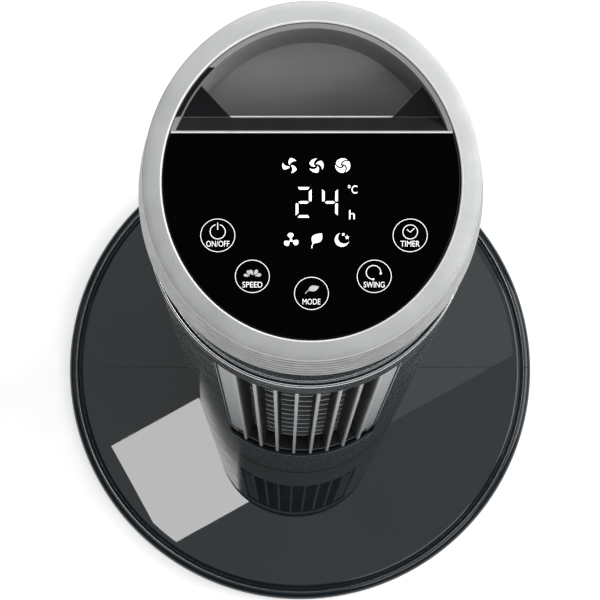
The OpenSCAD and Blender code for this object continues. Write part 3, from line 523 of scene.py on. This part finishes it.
def base_outline():
    """Outline of the base's skin with its rim bead and groove, hollow underneath."""
    bead = [(BASE_R - BEAD_R + BEAD_R * math.cos(a), RIM - BEAD_R + BEAD_R * math.sin(a))
            for a in (math.radians(d) for d in spread(0, 115, 14))]
    under = [(OPENING_R, BASE_MID - 4), (72, BASE_MID - 4), (76, BASE_MID - 2.8),
             (BASE_R - 11, RIM - 2.4),
             (BASE_R - 6.6, RIM - 3.5), (BASE_R - 2.6, RIM - 6), (BASE_R - 2.6, BASE_LOW + 0.4),
             (BASE_R - 2.2, BASE_LOW), (BASE_R - 0.6, BASE_LOW), (BASE_R - 0.1, BASE_LOW + 0.5)]
    groove = [(BASE_R - 6.9, RIM - 0.9), (BASE_R - 7.4, RIM - 0.6), (BASE_R - 7.9, RIM - 0.1),
              (BASE_R - 8.4, RIM + 0.2), (BASE_R - 9.4, BASE_MID - 0.06), (BASE_R - 10.4, BASE_MID)]
    middle = [(BASE_R - 11.5, BASE_MID), (OPENING_R + 2, BASE_MID), (OPENING_R, BASE_MID)]
    return under + bead + groove + middle


def base_half(name, front):
    """One half of the base, with ribs and foot bosses under its skin."""
    middle = 0 if front else math.pi
    gap = SEAM_SHOWN / BASE_R
    half = spread(middle - math.pi / 2 + gap, middle + math.pi / 2 - gap, 145)
    skin = piece(name, *lathe(base_outline(), half), [GLOSS_ABS], sharp=50)
    rib_side = [(56, 4), (BASE_R - 4, 4), (BASE_R - 4, 8.5), (BASE_R - 9, 11.3),
                (78, 14.6), (56, 14.2)]
    rib = sweep([[(side, -r, z) for r, z in rib_side] for side in (-1, 1)], False)
    ribs = repeated(piece("rib", *rib, [GLOSS_ABS]), GLOSS_ABS, 6,
                    middle - math.radians(75), math.radians(30))
    boss_side = [(7.1, 3), (8.8, 3), (8.8, 12.6), (0, 12.6), (0, 4.6), (7.1, 4.6)]
    boss = moved(lathe(boss_side), place=(0, -FOOT_CIRCLE_R, 0))
    bosses = repeated(piece("boss", *boss, [GLOSS_ABS]), GLOSS_ABS, 4,
                      middle - math.radians(67.5), math.radians(45))
    return edges(join(name, [skin, ribs, bosses]), 0.15, 2, 60)


place(base_half("base_front", True), "base", "gloss_anthracite", "base_front_shell")
place(base_half("base_rear", False), "base", "gloss_anthracite", "base_rear_shell")

foot_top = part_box("rubber_feet")[1].z / MM
foot_side = [(0, 0.4), (4.6, 0.4), (5, 0), (6.4, 0), (7, 0.6), (7, foot_top), (0, foot_top)]
foot = moved(lathe(foot_side), place=(0, -FOOT_CIRCLE_R, 0))
feet = repeated(piece("foot", *foot, [RUBBER]), RUBBER, 8, math.radians(22.5), math.radians(45))
feet.name = "foot_pads"
place(feet, "base", "rubber_black", "rubber_feet")

# ---- Housing ----

JOINT_X = INNER_R - 5.2
JOINT_HEIGHTS = (TOWER_LOW + 32, (TOWER_LOW + COLLAR_LOW) / 2, COLLAR_LOW - 60)
POST_R = 3.4
POST_LENGTH = 11
ALONG_Y = Matrix.Rotation(-math.pi / 2, 4, "X")


def span(first, breaks, last, step=2.5):
    """Angles from first to last in even steps of about step degrees, with the breaks among them."""
    stops, angles = [first, *breaks, last], [first]
    for a, b in zip(stops, stops[1:]):
        angles += spread(a, b, max(2, round(math.degrees(b - a) / step) + 1))[1:]
    return angles


def posts(sign, inner):
    """Screw posts of one housing half, as tubes along Y."""
    tube = [(inner, 0), (POST_R, 0), (POST_R, POST_LENGTH), (inner, POST_LENGTH)]
    parts = []
    for z in JOINT_HEIGHTS:
        for side in (-1, 1):
            where = (side * JOINT_X, SEAM if sign > 0 else -SEAM - POST_LENGTH, z)
            parts.append(piece("post", *moved(lathe(tube), ALONG_Y, where), [HOUSING_ABS]))
    return parts


def housing(name, front):
    """One housing half with its opening, up to a slanted mouth whose edge carries a near-white bead
    of painted highlight.
    """
    middle, half = (0, OUTLET_HALF) if front else (math.pi, INTAKE_HALF)
    gap = SEAM_SHOWN / TOWER_R
    angles = span(middle - math.pi / 2 + gap, [middle - half, middle + half],
                  middle + math.pi / 2 - gap)
    if front:
        levels = [(TOWER_LOW, 0), (OUTLET_LOW, 0), (OUTLET_TOP, RISE), (COLLAR_LOW, RISE)]
    else:
        levels = [(TOWER_LOW, 0), (INTAKE_LOW, 0), (INTAKE_TOP, 0), (COLLAR_LOW, RISE)]

    def solid(i, j):
        return j != 1 or abs((angles[i] + angles[i + 1]) / 2 - middle) > half

    wall = piece(name, *shell(angles, levels, TOWER_R, INNER_R, solid), [HOUSING_ABS], sharp=50)
    if not front:
        bore = [(0, 0), (2.9, 0), (2.9, 40), (0, 40)]
        cutters = [piece("bore", *moved(lathe(bore), ALONG_Y, (side * JOINT_X, 7, z)),
                         [HOUSING_ABS]) for z in JOINT_HEIGHTS for side in (-1, 1)]
        wall = cut(wall, cutters)
    # Near-white bead on the mouth's edge: painted highlight
    low, high, inner = COLLAR_LOW - 0.9, COLLAR_LOW + 0.15, TOWER_R - 1.1
    mouth = filleted([(inner, low), (TOWER_R, low), (TOWER_R, high), (inner, high)],
                     [0, 0, 0.5, 0.5], 5)
    lip = piece("lip", *lathe(mouth, angles, RISE), [MOUTH_HIGHLIGHT_PAINT])
    parts = [wall, *posts(-1 if front else 1, 1.4 if front else 1.9)]
    return join(name, [settled(edges(join(name, parts), 0.45, 3)), lip])


place(housing("housing_front", True), "tower", "gloss_anthracite", "front_housing")
place(housing("housing_rear", False), "tower", "gloss_anthracite", "rear_housing")

# ---- Outlet grille ----

SLAT_R = TOWER_R - 0.8
SLAT_IN = SLAT_R - 10
SLAT_LOW = OUTLET_LOW + 10
SLATS = 8
PITCH = math.radians(8.315)
CHEEK_FROM = (SLATS - 1) / 2 * PITCH
TIE_STEP = 30
TAB = math.radians(3.5)


def sector(outer, inner, low, high, first, last, radius=0.3, step=2.5):
    """Part of a tube between two angles, with rounded edges."""
    outline = filleted([(inner, low), (outer, low), (outer, high), (inner, high)], radius, 2)
    return lathe(outline, span(first, [], last, step))


def outlet_grille():
    """Upright slats with tie rings behind them, solid cheeks, a top rail and a ledge."""
    ceiling = {"ceiling": OUTLET_TOP - 0.3, "slope": RISE}
    # Slats take the silver only on their fronts; their flanks take the near-black painted shade
    bead = filleted([(-0.85, -SLAT_R), (0.85, -SLAT_R),
                     (0.85, -SLAT_R + 1.4), (-0.85, -SLAT_R + 1.4)], [0.7, 0.7, 0.1, 0.1], 4)
    blade = filleted([(-0.8, -SLAT_R + 1.3), (0.8, -SLAT_R + 1.3),
                      (0.65, -SLAT_IN), (-0.65, -SLAT_IN)], 0.3, 2)
    parts = [repeated(piece(name, *prism(outline, SLAT_LOW, FACE_H), [finish]), finish,
                      SLATS, -CHEEK_FROM, PITCH, **ceiling)
             for name, outline, finish in (("bead", bead, SILVER_LACQUER),
                                           ("blade", blade, GRILLE_PAINTED_SHADE))]
    tie_low = SLAT_LOW + 15
    ties = int((slanted(OUTLET_TOP, -TOWER_R) - 8 - tie_low) // TIE_STEP) + 1
    tie = sector(SLAT_IN + 0.4, SLAT_IN - 2.3, tie_low, tie_low + 1.6,
                 -CHEEK_FROM - 0.035, CHEEK_FROM + 0.035)
    parts.append(repeated(piece("tie", *tie, [SILVER_LACQUER]), SILVER_LACQUER,
                          rows=ties, rise=TIE_STEP))
    edge = OUTLET_HALF + TAB
    for side in (-1, 1):
        face = sector(TOWER_R - 1.5, INNER_R - 2.1, SLAT_LOW + 48, FACE_H,
                      *sorted((side * CHEEK_FROM, side * (OUTLET_HALF - 0.009))), 0)
        flange = sector(INNER_R - 0.3, INNER_R - 2.6, SLAT_LOW - 4, FACE_H,
                        *sorted((side * (OUTLET_HALF - 0.052), side * edge)), 0)
        parts.append(repeated(piece("cheek", *face, [CHEEK_LACQUER_PAINTED_SHADE]), CHEEK_LACQUER_PAINTED_SHADE, **ceiling))
        parts.append(repeated(piece("flange", *flange, [GRILLE_PAINTED_SHADE]), GRILLE_PAINTED_SHADE,
                              ceiling=OUTLET_TOP + 2.2, slope=RISE))
    end = edge - 0.009
    outer = INNER_R - 0.7
    ledge = sector(outer, SLAT_IN - 2.3, SLAT_LOW - 1, SLAT_LOW + 2, -end, end)
    parts.append(piece("ledge", *ledge, [GRILLE_PAINTED_SHADE]))
    inner, low, high = SLAT_IN - 2.1, OUTLET_TOP - 3, OUTLET_TOP + 1.5
    outline = filleted([(inner, low), (outer, low), (outer, high), (inner, high)], 0.3, 2)
    rail = lathe(outline, span(-end, [], end), RISE)
    parts.append(piece("rail", *rail, [GRILLE_PAINTED_SHADE]))
    return edges(join("outlet_grille", parts))


place(outlet_grille(), "tower", "grille_silver", "front_grille")


def rear_grille():
    """Fine upright ribs and rings over the intake, on a frame behind the housing's wall."""
    outer, inner = TOWER_R - 0.5, INNER_R - 3.2
    ribs_count, ring_step = 29, 12
    rib = filleted([(-0.6, -outer), (0.6, -outer), (0.45, -inner), (-0.45, -inner)], 0.35, 2)
    first = math.pi - INTAKE_HALF + 0.03
    step = (INTAKE_HALF - 0.03) * 2 / (ribs_count - 1)
    rib = prism(rib, INTAKE_LOW + 0.3, INTAKE_TOP - 0.3)
    ribs = repeated(piece("rib", *rib, [INNER_ABS]), INNER_ABS, ribs_count, first, step)
    edge = INTAKE_HALF + TAB
    ring_low = INTAKE_LOW + ring_step
    ring = sector(inner + 1.6, inner - 0.6, ring_low, ring_low + 1.4,
                  math.pi - edge + 0.017, math.pi + edge - 0.017, 0.25, 4)
    ring_count = int((INTAKE_TOP - INTAKE_LOW - 20) // ring_step) + 1
    rings = repeated(piece("ring", *ring, [INNER_ABS]), INNER_ABS,
                     rows=ring_count, rise=ring_step)
    parts = [ribs, rings]
    frame_r = INNER_R - 0.3
    for z in (INTAKE_LOW - 6, INTAKE_TOP - 1):
        band = sector(frame_r - 0.3, inner - 0.75, z, z + 7,
                      math.pi - edge + 0.009, math.pi + edge - 0.009)
        parts.append(piece("band", *band, [INNER_ABS]))
    for a in (math.pi - edge, math.pi + INTAKE_HALF + 0.005):
        side = sector(frame_r, inner - 0.9, INTAKE_LOW - 5.5, INTAKE_TOP + 5.5, a, a + TAB - 0.005)
        parts.append(piece("side", *side, [INNER_ABS]))
    return edges(join("rear_grille", parts))


place(rear_grille(), "tower", "inner_black", "intake_grille")

# ---- Impeller ----


def cross_flow_impeller():
    """Curved blades between rings and end discs."""
    low, high = (v.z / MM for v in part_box("impeller"))
    outer, inner, count = 43, 35, 26
    ring_from, ring_step = 60, 60
    leading, trailing = [], []
    for t in spread(0, 1, 7):
        radius = inner + (outer - inner) * t
        for side, edge in ((1, leading), (-1, trailing)):
            a = math.radians(-90 + 11 * t * t) + side * 0.5 / radius
            edge.append((radius * math.cos(a), radius * math.sin(a)))
    blade = prism(leading + trailing[::-1], low + 0.5, high - 0.5)
    parts = [repeated(piece("blade", *blade, [GLASS_FILLED_ABS]), GLASS_FILLED_ABS,
                      count, 0, TURN / count)]
    ring_low = low + ring_from
    ring = filleted([(inner - 3, ring_low), (outer - 1, ring_low),
                     (outer - 1, ring_low + 1.6), (inner - 3, ring_low + 1.6)], 0.3, 2)
    parts.append(repeated(piece("ring", *lathe(ring), [GLASS_FILLED_ABS]), GLASS_FILLED_ABS,
                          rows=int((high - low - 90) // ring_step) + 1, rise=ring_step))
    hub_r, stub_r = 14.03, 3.03
    for outline in ([(hub_r, low), (outer, low), (outer, low + 2), (hub_r, low + 2)],
                    [(stub_r, high - 10), (8, high - 10), (8, high - 2), (outer, high - 2),
                     (outer, high), (stub_r, high)]):
        parts.append(piece("disc", *lathe(filleted(outline, 0.4, 2)), [GLASS_FILLED_ABS]))
    return edges(join("impeller_rotor", parts))


place(cross_flow_impeller(), "impeller", "duct_grey", "impeller")

# ---- Head ----


def collar():
    """Glossy collar between two slanted planes, with a tongue down inside the housing."""
    outer = TOWER_R - 1.5
    low, high = COLLAR_LOW + 0.2, RING_LOW - 0.2
    tongue_in, tongue_out, tongue_low = INNER_R - 2.7, INNER_R - 0.3, low - 12
    outline = [(outer, low), (outer, high), (outer - 2.4, high), (outer - 2.4, low + 4),
               (tongue_in, low + 4), (tongue_in, tongue_low), (tongue_out, tongue_low),
               (tongue_out, low)]
    radii = [0.5, 0.5, 0.4, 0, 0.3, 0.4, 0.4, 0]
    skin = lathe(filleted(outline, radii, 3), None, RISE)
    return edges(piece("collar", *skin, [COLLAR_ABS], sharp=50))


place(collar(), "tower", "collar_gloss", "top_collar")


def metal_ring():
    """Turned ring with fine grooves round its wall and a painted highlight on its inner chamfer;
    its wall and grooves are painted darker as shade.

    Each point of its profile names the finish of the face that follows it."""
    # wall and groove mark faces painted darker as shade; polished marks the chamfer's painted
    # highlight
    turned, polished, wall, groove = range(4)
    finishes = [TURNED_ALUMINIUM, CHAMFER_PAINTED_HIGHLIGHT, RING_WALL_PAINTED_SHADE, GROOVE_PAINTED_SHADE]
    profile = [(TOWER_R - 2.2, -RING_HEIGHT, wall), (TOWER_R - 0.4, -RING_HEIGHT, wall),
               (TOWER_R, -RING_HEIGHT + 0.6, wall)]
    for depth in spread(28.5, 4.5, 6):
        radius = TOWER_R - RING_TAPER * (RING_HEIGHT - depth) / (RING_HEIGHT - 0.9)
        profile += [(radius, -depth - 0.8, groove), (radius - 0.7, -depth - 0.6, groove),
                    (radius - 0.7, -depth + 0.6, groove), (radius, -depth + 0.8, wall)]
    profile += [(FACE_R + 0.25, -1.4, turned), (FACE_R + 0.1, -1.0, turned),
                (FACE_R - 0.25, -0.7, turned), (FACE_R - 2.5, -0.3, turned),
                (WINDOW_R + 0.7, 0, polished), (WINDOW_R + 0.3, -0.1, polished),
                (WINDOW_R + 0.05, -0.4, polished), (WINDOW_R, -0.9, turned),
                (WINDOW_R, -3.2, turned), (FACE_R - 2.2, -3.2, turned)]
    points, faces = lathe([(r, FACE_H + h) for r, h, _ in profile], None, RISE)
    marks = [profile[k % len(profile)][2] for k in range(len(faces))]
    return edges(piece("metal_ring", points, faces, finishes, marks, sharp=50))


place(metal_ring(), "tower", "ring_metal", "head_ring")

INSERT_R = WINDOW_R - 0.3
PANEL_DROP, PANEL_UNDER = 0.6, 3.2
PANEL_EDGE = 20.5
PANEL_EDGE_Y = PANEL_EDGE * math.cos(SLANT) + PANEL_DROP * math.sin(SLANT)


def on_face(across, up, depth):
    """Point on the slanted face: across, up the slope, and below it."""
    return (across, up * math.cos(SLANT) + depth * math.sin(SLANT),
            FACE_H + up * math.sin(SLANT) - depth * math.cos(SLANT))


def across_face(outline, half):
    """Bar across the face, half its length each way; the outline is (up the slope, below it)."""
    return sweep([[on_face(side * half, w, d) for w, d in outline] for side in (-1, 1)], False)


def control_panel():
    """Black acrylic panel with a softened rim and a near-white painted highlight along its rear
    edge.
    """
    loops = []
    for inset, depth in ((0.3, PANEL_UNDER), (0, PANEL_UNDER - 0.3), (0, PANEL_DROP + 0.5),
                         (0.12, PANEL_DROP + 0.2), (0.5, PANEL_DROP)):
        radius = INSERT_R - inset
        limit = math.acos(-(PANEL_EDGE_Y - inset) / radius)
        loop = [polar(radius, a) for a in spread(-limit, limit, 120)]
        loops.append([(x, y, slanted(FACE_H - depth / math.cos(SLANT), y)) for x, y in loop])
    panel = edges(piece("panel", *sweep(loops, False), [BLACK_ACRYLIC], sharp=50))
    half = math.sqrt(INSERT_R ** 2 - PANEL_EDGE_Y ** 2) - 0.4
    strip = filleted([(PANEL_EDGE - 0.4, PANEL_DROP - 0.03),
                      (PANEL_EDGE + 0.5, PANEL_DROP + 0.05),
                      (PANEL_EDGE + 0.6, PANEL_UNDER), (PANEL_EDGE - 0.4, PANEL_UNDER)], 0.15, 2)
    return join("panel", [settled(panel),
                          piece("panel_edge", *across_face(strip, half), [EDGE_PAINTED_HIGHLIGHT])])


place(control_panel(), "tower", "panel_black", "control_panel")

# ---- Printing and display, as thin layers on the panel ----

LAYER = 0.05
THIN = 0.3
marks_made = []


def about(u, w, radius, degrees):
    """Point at a distance and an angle from (u, w), where 0 degrees lies to the right."""
    a = math.radians(degrees)
    return u + radius * math.cos(a), w + radius * math.sin(a)


def arc(u, w, radius, first, last, count=40):
    """Points on a circle about (u, w), from first to last in degrees."""
    return [about(u, w, radius, a) for a in spread(first, last, count)]


def set_down(shape, u, w, turn, size=1.0):
    """A shape's points scaled, turned by degrees and moved to (u, w)."""
    c, s = math.cos(math.radians(turn)), math.sin(math.radians(turn))
    return [(u + size * (x * c - y * s), w + size * (x * s + y * c)) for x, y in shape]


def layer(outline, finish=INK_WITH_PAINTED_GLOW):
    """Thin filled layer inside a closed outline on the panel."""
    top = [on_face(u, w, PANEL_DROP - LAYER) for u, w in outline]
    bottom = [on_face(u, w, PANEL_DROP + LAYER) for u, w in outline]
    marks_made.append(piece("mark", *sweep([bottom, top], False), [finish]))


def stroke(path, width, finish=INK_WITH_PAINTED_GLOW, closed=False):
    """Thin line of ink along a path on the panel."""
    count, left, right = len(path), [], []
    for i, p in enumerate(path):
        before = path[i - 1] if closed or i else p
        after = path[(i + 1) % count] if closed or i < count - 1 else p
        along = Vector((after[0] - before[0], after[1] - before[1])).normalized()
        side = Vector((-along.y, along.x)) * width / 2
        left.append((p[0] + side.x, p[1] + side.y))
        right.append((p[0] - side.x, p[1] - side.y))
    high, low = PANEL_DROP - LAYER, PANEL_DROP + LAYER
    sections = [[on_face(*a, high), on_face(*b, high), on_face(*b, low), on_face(*a, low)]
                for a, b in zip(left, right)]
    marks_made.append(piece("mark", *sweep(sections, closed), [finish]))


def dot(u, w, radius, finish=INK_WITH_PAINTED_GLOW):
    """Round spot of ink."""
    layer(arc(u, w, radius, 0, 350, 36), finish)


def label(text, u, w, width, height, finish=INK_WITH_PAINTED_GLOW):
    """A short word set in plain type, fitted to a width and a height, centred on (u, w)."""
    curve = bpy.data.curves.new("label", "FONT")
    curve.body = text
    curve.extrude = 0.001
    curve.resolution_u = 4
    letters = bpy.data.objects.new("label", curve)
    scene.collection.objects.link(letters)
    flat = settled(letters)
    xs, ys = [v.co.x for v in flat.data.vertices], [v.co.y for v in flat.data.vertices]
    middle_x, middle_y = (min(xs) + max(xs)) / 2, (min(ys) + max(ys)) / 2
    scale_x, scale_y = width / (max(xs) - min(xs)), height / (max(ys) - min(ys))
    for v in flat.data.vertices:
        across, up = u + (v.co.x - middle_x) * scale_x, w + (v.co.y - middle_y) * scale_y
        depth = PANEL_DROP + (LAYER if v.co.z < 0 else -LAYER)
        v.co = Vector(on_face(across, up, depth)) * MM
    flat.data.materials.clear()
    flat.data.materials.append(finish)
    marks_made.append(flat)


def leaf(u, w, size, turn, wide=1.0, finish=INK_WITH_PAINTED_GLOW):
    """Leaf with a pointed tip and a bent stalk, centred on (u, w)."""
    centre = 0.4
    upper = [(t - centre, 0.33 * wide * math.sin(math.pi * t ** 0.8)) for t in spread(0, 1, 12)]
    lower = [(t - centre, -0.27 * wide * math.sin(math.pi * t ** 1.1))
             for t in spread(1, 0, 12)[1:-1]]
    layer(set_down(upper + lower, u, w, turn, size), finish)
    stalk = [(-0.32 - centre, -0.16), (-0.16 - centre, -0.05), (-centre, 0)]
    stroke(set_down(stalk, u, w, turn, size), 0.32, finish)


# Gap between a rotor's blades, as an angle in radians at its rim
ROTOR_GAP = 0.3


def rotor(u, w, radius, fill, twist, turn, finish):
    """Three swept blades; fill is the share of its third that each blade takes at the rim."""
    third = TURN / 3
    close = fill > 0.7
    for k in range(3):
        start = math.radians(turn) - third * k
        inner, outer = [], []
        for t in spread(0.16, 1, 12):
            wide = max(0.02, fill * third - ROTOR_GAP / t * (1 if close else 0.2))
            a = start - twist * t
            inner.append(about(u, w, radius * t, math.degrees(a)))
            outer.append(about(u, w, radius * t, math.degrees(a - wide)))
        rim_first = start - twist
        rim_last = rim_first - fill * third + ROTOR_GAP * close
        rim = arc(u, w, radius, math.degrees(rim_first), math.degrees(rim_last), 8)[1:-1]
        layer(inner + rim + outer[::-1], finish)


def petals(u, w, radius, angles, length, width, finish=INK_WITH_PAINTED_GLOW):
    """Rounded petals that point away from a centre."""
    side = [(radius + length * t, width * math.sin(math.pi * t ** 1.5) ** 0.7)
            for t in spread(0.02, 0.98, 9)]
    shape = side + [(x, -y) for x, y in side[::-1]]
    for a in angles:
        layer(set_down(shape, u, w, a), finish)


def segments(u, w, lit, width=6.1, height=12.3, t=1.0, g=0.42):
    """Seven-segment figure with its upper left corner at (u, w); t is a bar's width, g its gap."""
    half = height / 2
    across = [(t * 0.4 + g, 0), (width - t * 0.4 - g, 0), (width - t - g, -t), (t + g, -t)]
    upright = [(0, -t * 0.5 - g), (t, -t - g * 2), (t, -half + t * 0.6), (t * 0.5, -half + g),
               (0, -half + t * 0.5)]
    middle = [(t * 0.6 + g, 0), (t + 2 * g, t / 2), (width - t - 2 * g, t / 2),
              (width - t * 0.6 - g, 0), (width - t - 2 * g, -t / 2), (t + 2 * g, -t / 2)]
    shapes = {
        "top": across, "bottom": [(x, -height - y) for x, y in across],
        "middle": [(x, y - half) for x, y in middle],
        "upper_left": upright, "upper_right": [(width - x, y) for x, y in upright],
        "lower_left": [(x, -height - y) for x, y in upright],
        "lower_right": [(width - x, -height - y) for x, y in upright]}
    for name in lit:
        layer([(u + x, w + y) for x, y in shapes[name]], LIT_DIFFUSER)


# Touch keys: the middle of each, and how wide its word is
KEYS = {"ON/OFF": (-36.4, -20.9, 9.0), "SPEED": (-23.0, -37.6, 7.8), "MODE": (0.1, -44.6, 7.0),
        "SWING": (24.6, -37.6, 8.2), "TIMER": (38.4, -20.9, 7.5)}
KEY_R = 6.65
WORD_DROP = 3.4
WORD_HEIGHT = 2.35
for text, (u, w, width) in KEYS.items():
    stroke(arc(u, w, KEY_R, 0, 355, 72), 0.25, closed=True)
    label(text, u, w - WORD_DROP, width, WORD_HEIGHT)

u, w, _ = KEYS["ON/OFF"]
stroke(arc(u, w + 1.5, 2.95, 107, 433), THIN)
stroke([(u, w + 5.2), (u, w + 2.3)], THIN)
u, w, _ = KEYS["SPEED"]
petals(u + 0.6, w + 0.1, 0.4, (14, 64, 122), 2.6, 0.72, GREY_INK_WITH_PAINTED_GLOW)
petals(u - 0.9, w + 0.1, 0.3, (112, 168), 2.3, 0.62, GREY_INK_WITH_PAINTED_GLOW)
u, w, _ = KEYS["MODE"]
leaf(u + 0.4, w + 1.8, 4.6, 22, 0.9, GREY_INK_WITH_PAINTED_GLOW)
u, w, _ = KEYS["SWING"]
stroke(arc(u - 0.3, w + 1.6, 2.85, -8, 268), THIN)
dot(u + 2.5, w + 1.2, 0.45)
dot(u - 0.4, w - 1.2, 0.45)
u, w, _ = KEYS["TIMER"]
stroke(arc(u, w + 1.4, 2.85, 0, 350), THIN, closed=True)
stroke([(u - 1.3, w + 2.4), (u, w + 1.3), (u + 1.7, w + 2.9)], THIN)

# The figures with their units, the three speeds above and the three modes below
segments(-6.1, -1.4, ("top", "upper_right", "middle", "lower_left", "bottom"))
segments(4.1, -1.4, ("upper_left", "upper_right", "middle", "lower_right"))
label("°C", 15.9, -2.3, 3.7, 3.4, LIT_DIFFUSER)
label("h", 15.7, -12.5, 2.2, 3.7, LIT_DIFFUSER)
rotor(-8.3, 7.2, 3.0, 0.45, 0.9, 260, LIT_DIFFUSER)
rotor(1.8, 7.2, 2.8, 0.8, 1.1, 225, LIT_DIFFUSER)
rotor(12.0, 7.2, 2.9, 1.0, 1.4, 235, LIT_DIFFUSER)
petals(-7.9, -22.9, 0.6, (95, 215, 335), 2.5, 1.15, LIT_DIFFUSER)
dot(-7.9, -22.9, 0.55, LIT_DIFFUSER)
leaf(2.0, -22.6, 5.4, 50, 1.15, LIT_DIFFUSER)
crescent = arc(11.9, -22.7, 2.8, 106, 344, 30) + arc(12.75, -21.85, 2.45, 319, 131, 24)[1:-1]
layer(crescent, LIT_DIFFUSER)
dot(12.4, -20.5, 0.5, LIT_DIFFUSER)
star = [about(13.9, -21.7, 0.42 if k % 2 else 0.95, 90 + 36 * k) for k in range(10)]
layer(star, LIT_DIFFUSER)

printing = join("panel_printing", marks_made)
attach(printing, "tower")

# ---- Carried-over plastic parts with rounded edges ----


def carried(name, node, finish, width, second=None, chosen=None):
    """Copy of a CAD node's shape with rounded edges; chosen faces take the second finish."""
    mesh = frame["nodes"][node].data.copy()
    mesh.materials.clear()
    for held in (finish, second) if second else (finish,):
        mesh.materials.append(held)
    obj = bpy.data.objects.new(name, mesh)
    scene.collection.objects.link(obj)
    bm = bmesh.new()
    bm.from_mesh(mesh)
    bmesh.ops.remove_doubles(bm, verts=bm.verts, dist=0.002 * MM)
    bmesh.ops.dissolve_limit(bm, angle_limit=math.radians(0.5), verts=bm.verts, edges=bm.edges)
    bm.normal_update()
    soften(bm, 30)
    for face in bm.faces:
        face.material_index = 1 if chosen and chosen(face) else 0
    bm.to_mesh(mesh)
    bm.free()
    return edges(obj, width, 3, 35)


OUT_OF_FACE = Vector((0, -math.sin(SLANT), math.cos(SLANT)))
BAR_EDGE = PANEL_EDGE + 4.75
LEDGE_END = 40


def polished_face(face):
    """True for the grip bar's bevel and the ledges beside the pocket, which are polished."""
    middle = face.calc_center_median() / MM
    up = middle.y * math.cos(SLANT) + (middle.z - FACE_H) * math.sin(SLANT)
    faces_up = face.normal.dot(OUT_OF_FACE) > 0.6 and face.normal.z > 0.75
    return faces_up and PANEL_EDGE - 1 < up < LEDGE_END


def finger_pocket():
    """Sparked pocket with a polished grip bar and a near-white painted highlight line along the
    bar's lower edge.
    """
    pocket = carried("finger_pocket", "handle_pocket", SPARKED_ABS, 0.6, BEVEL_ABS, polished_face)
    # The line along the bar's lower edge is a painted highlight
    near, far = BAR_EDGE - 0.3, BAR_EDGE + 0.15
    half = math.sqrt((INSERT_R - 1.8) ** 2 - (BAR_EDGE * math.cos(SLANT)) ** 2) - 1
    side = filleted([(near, 6.0), (far, 6.0), (far, 6.9), (near, 6.9)], 0.12, 2)
    line = piece("lip", *across_face(side, half), [EDGE_PAINTED_HIGHLIGHT])
    return join("finger_pocket", [settled(pocket), line])


place(finger_pocket(), "tower", "pocket_grey", "handle_pocket")

# ---- Camera, lights and floor ----

camera_data = bpy.data.cameras.new("camera")
camera_data.sensor_width = 36
camera_data.lens = 171.5
camera_data.shift_x = 0.0277
camera_data.shift_y = -0.0107
camera = bpy.data.objects.new("camera", camera_data)
camera.location = (-0.01089, -0.17324, 1.86669)
camera.rotation_euler = (math.radians(6.825), 0, 0)
scene.collection.objects.link(camera)
scene.camera = camera


def panel_light(name, middle, width, length, radiance, target=None, turn=0.0):
    """Rectangular light panel that faces down, or faces a target point."""
    data = bpy.data.lights.new(name, "AREA")
    data.shape = "RECTANGLE"
    data.size, data.size_y = width, length
    data.energy = radiance * width * length * math.pi
    light = bpy.data.objects.new(name, data)
    light.location = middle
    light.rotation_euler = (0, 0, turn)
    if target:
        light.rotation_euler = (Vector(target) - Vector(middle)).to_track_quat("-Z", "Y").to_euler()
    scene.collection.objects.link(light)


panel_light("strip", (-0.072, 0.123, 2.5), 0.36, 0.175, 15.0, turn=math.radians(29))
panel_light("strip_tail", (0.205, 0.277, 2.5), 0.27, 0.175, 0.7, turn=math.radians(29))
panel_light("overhead", (0.2, 0.6, 3.2), 4.0, 4.2, 1.0)
panel_light("right", (1.8, 0.2, 1.6), 1.4, 1.6, 4.5, (0, 0, 0.6))
panel_light("front_right", (0.95, -1.3, 2.3), 1.2, 1.0, 2.8, (0, 0, 0.8))
panel_light("left", (-2.0, 0.4, 1.6), 1.0, 1.4, 0.5, (0, 0, 0.6))

world = bpy.data.worlds.new("studio")
scene.world = world
world.use_nodes = True
surroundings = world.node_tree.nodes["Background"].inputs
surroundings["Color"].default_value = linear("#33373a")
surroundings["Strength"].default_value = 1.0

# Seamless studio paper: white, lightly fibrous, lit evenly
PAPER = surface("studio_paper_white", "#f6f6f6", "#ffffff", (0.8, 0.95), spot=40, grain=0.8,
                depth=0.02, Emission_Color=(1, 1, 1, 1), Emission_Strength=0.5)
reach = 9000
corners = [(-reach, -reach, 0), (reach, -reach, 0), (reach, reach, 0), (-reach, reach, 0)]
floor = piece("floor", corners, [(0, 1, 2, 3)], [PAPER])
scene.view_settings.view_transform = "Standard"
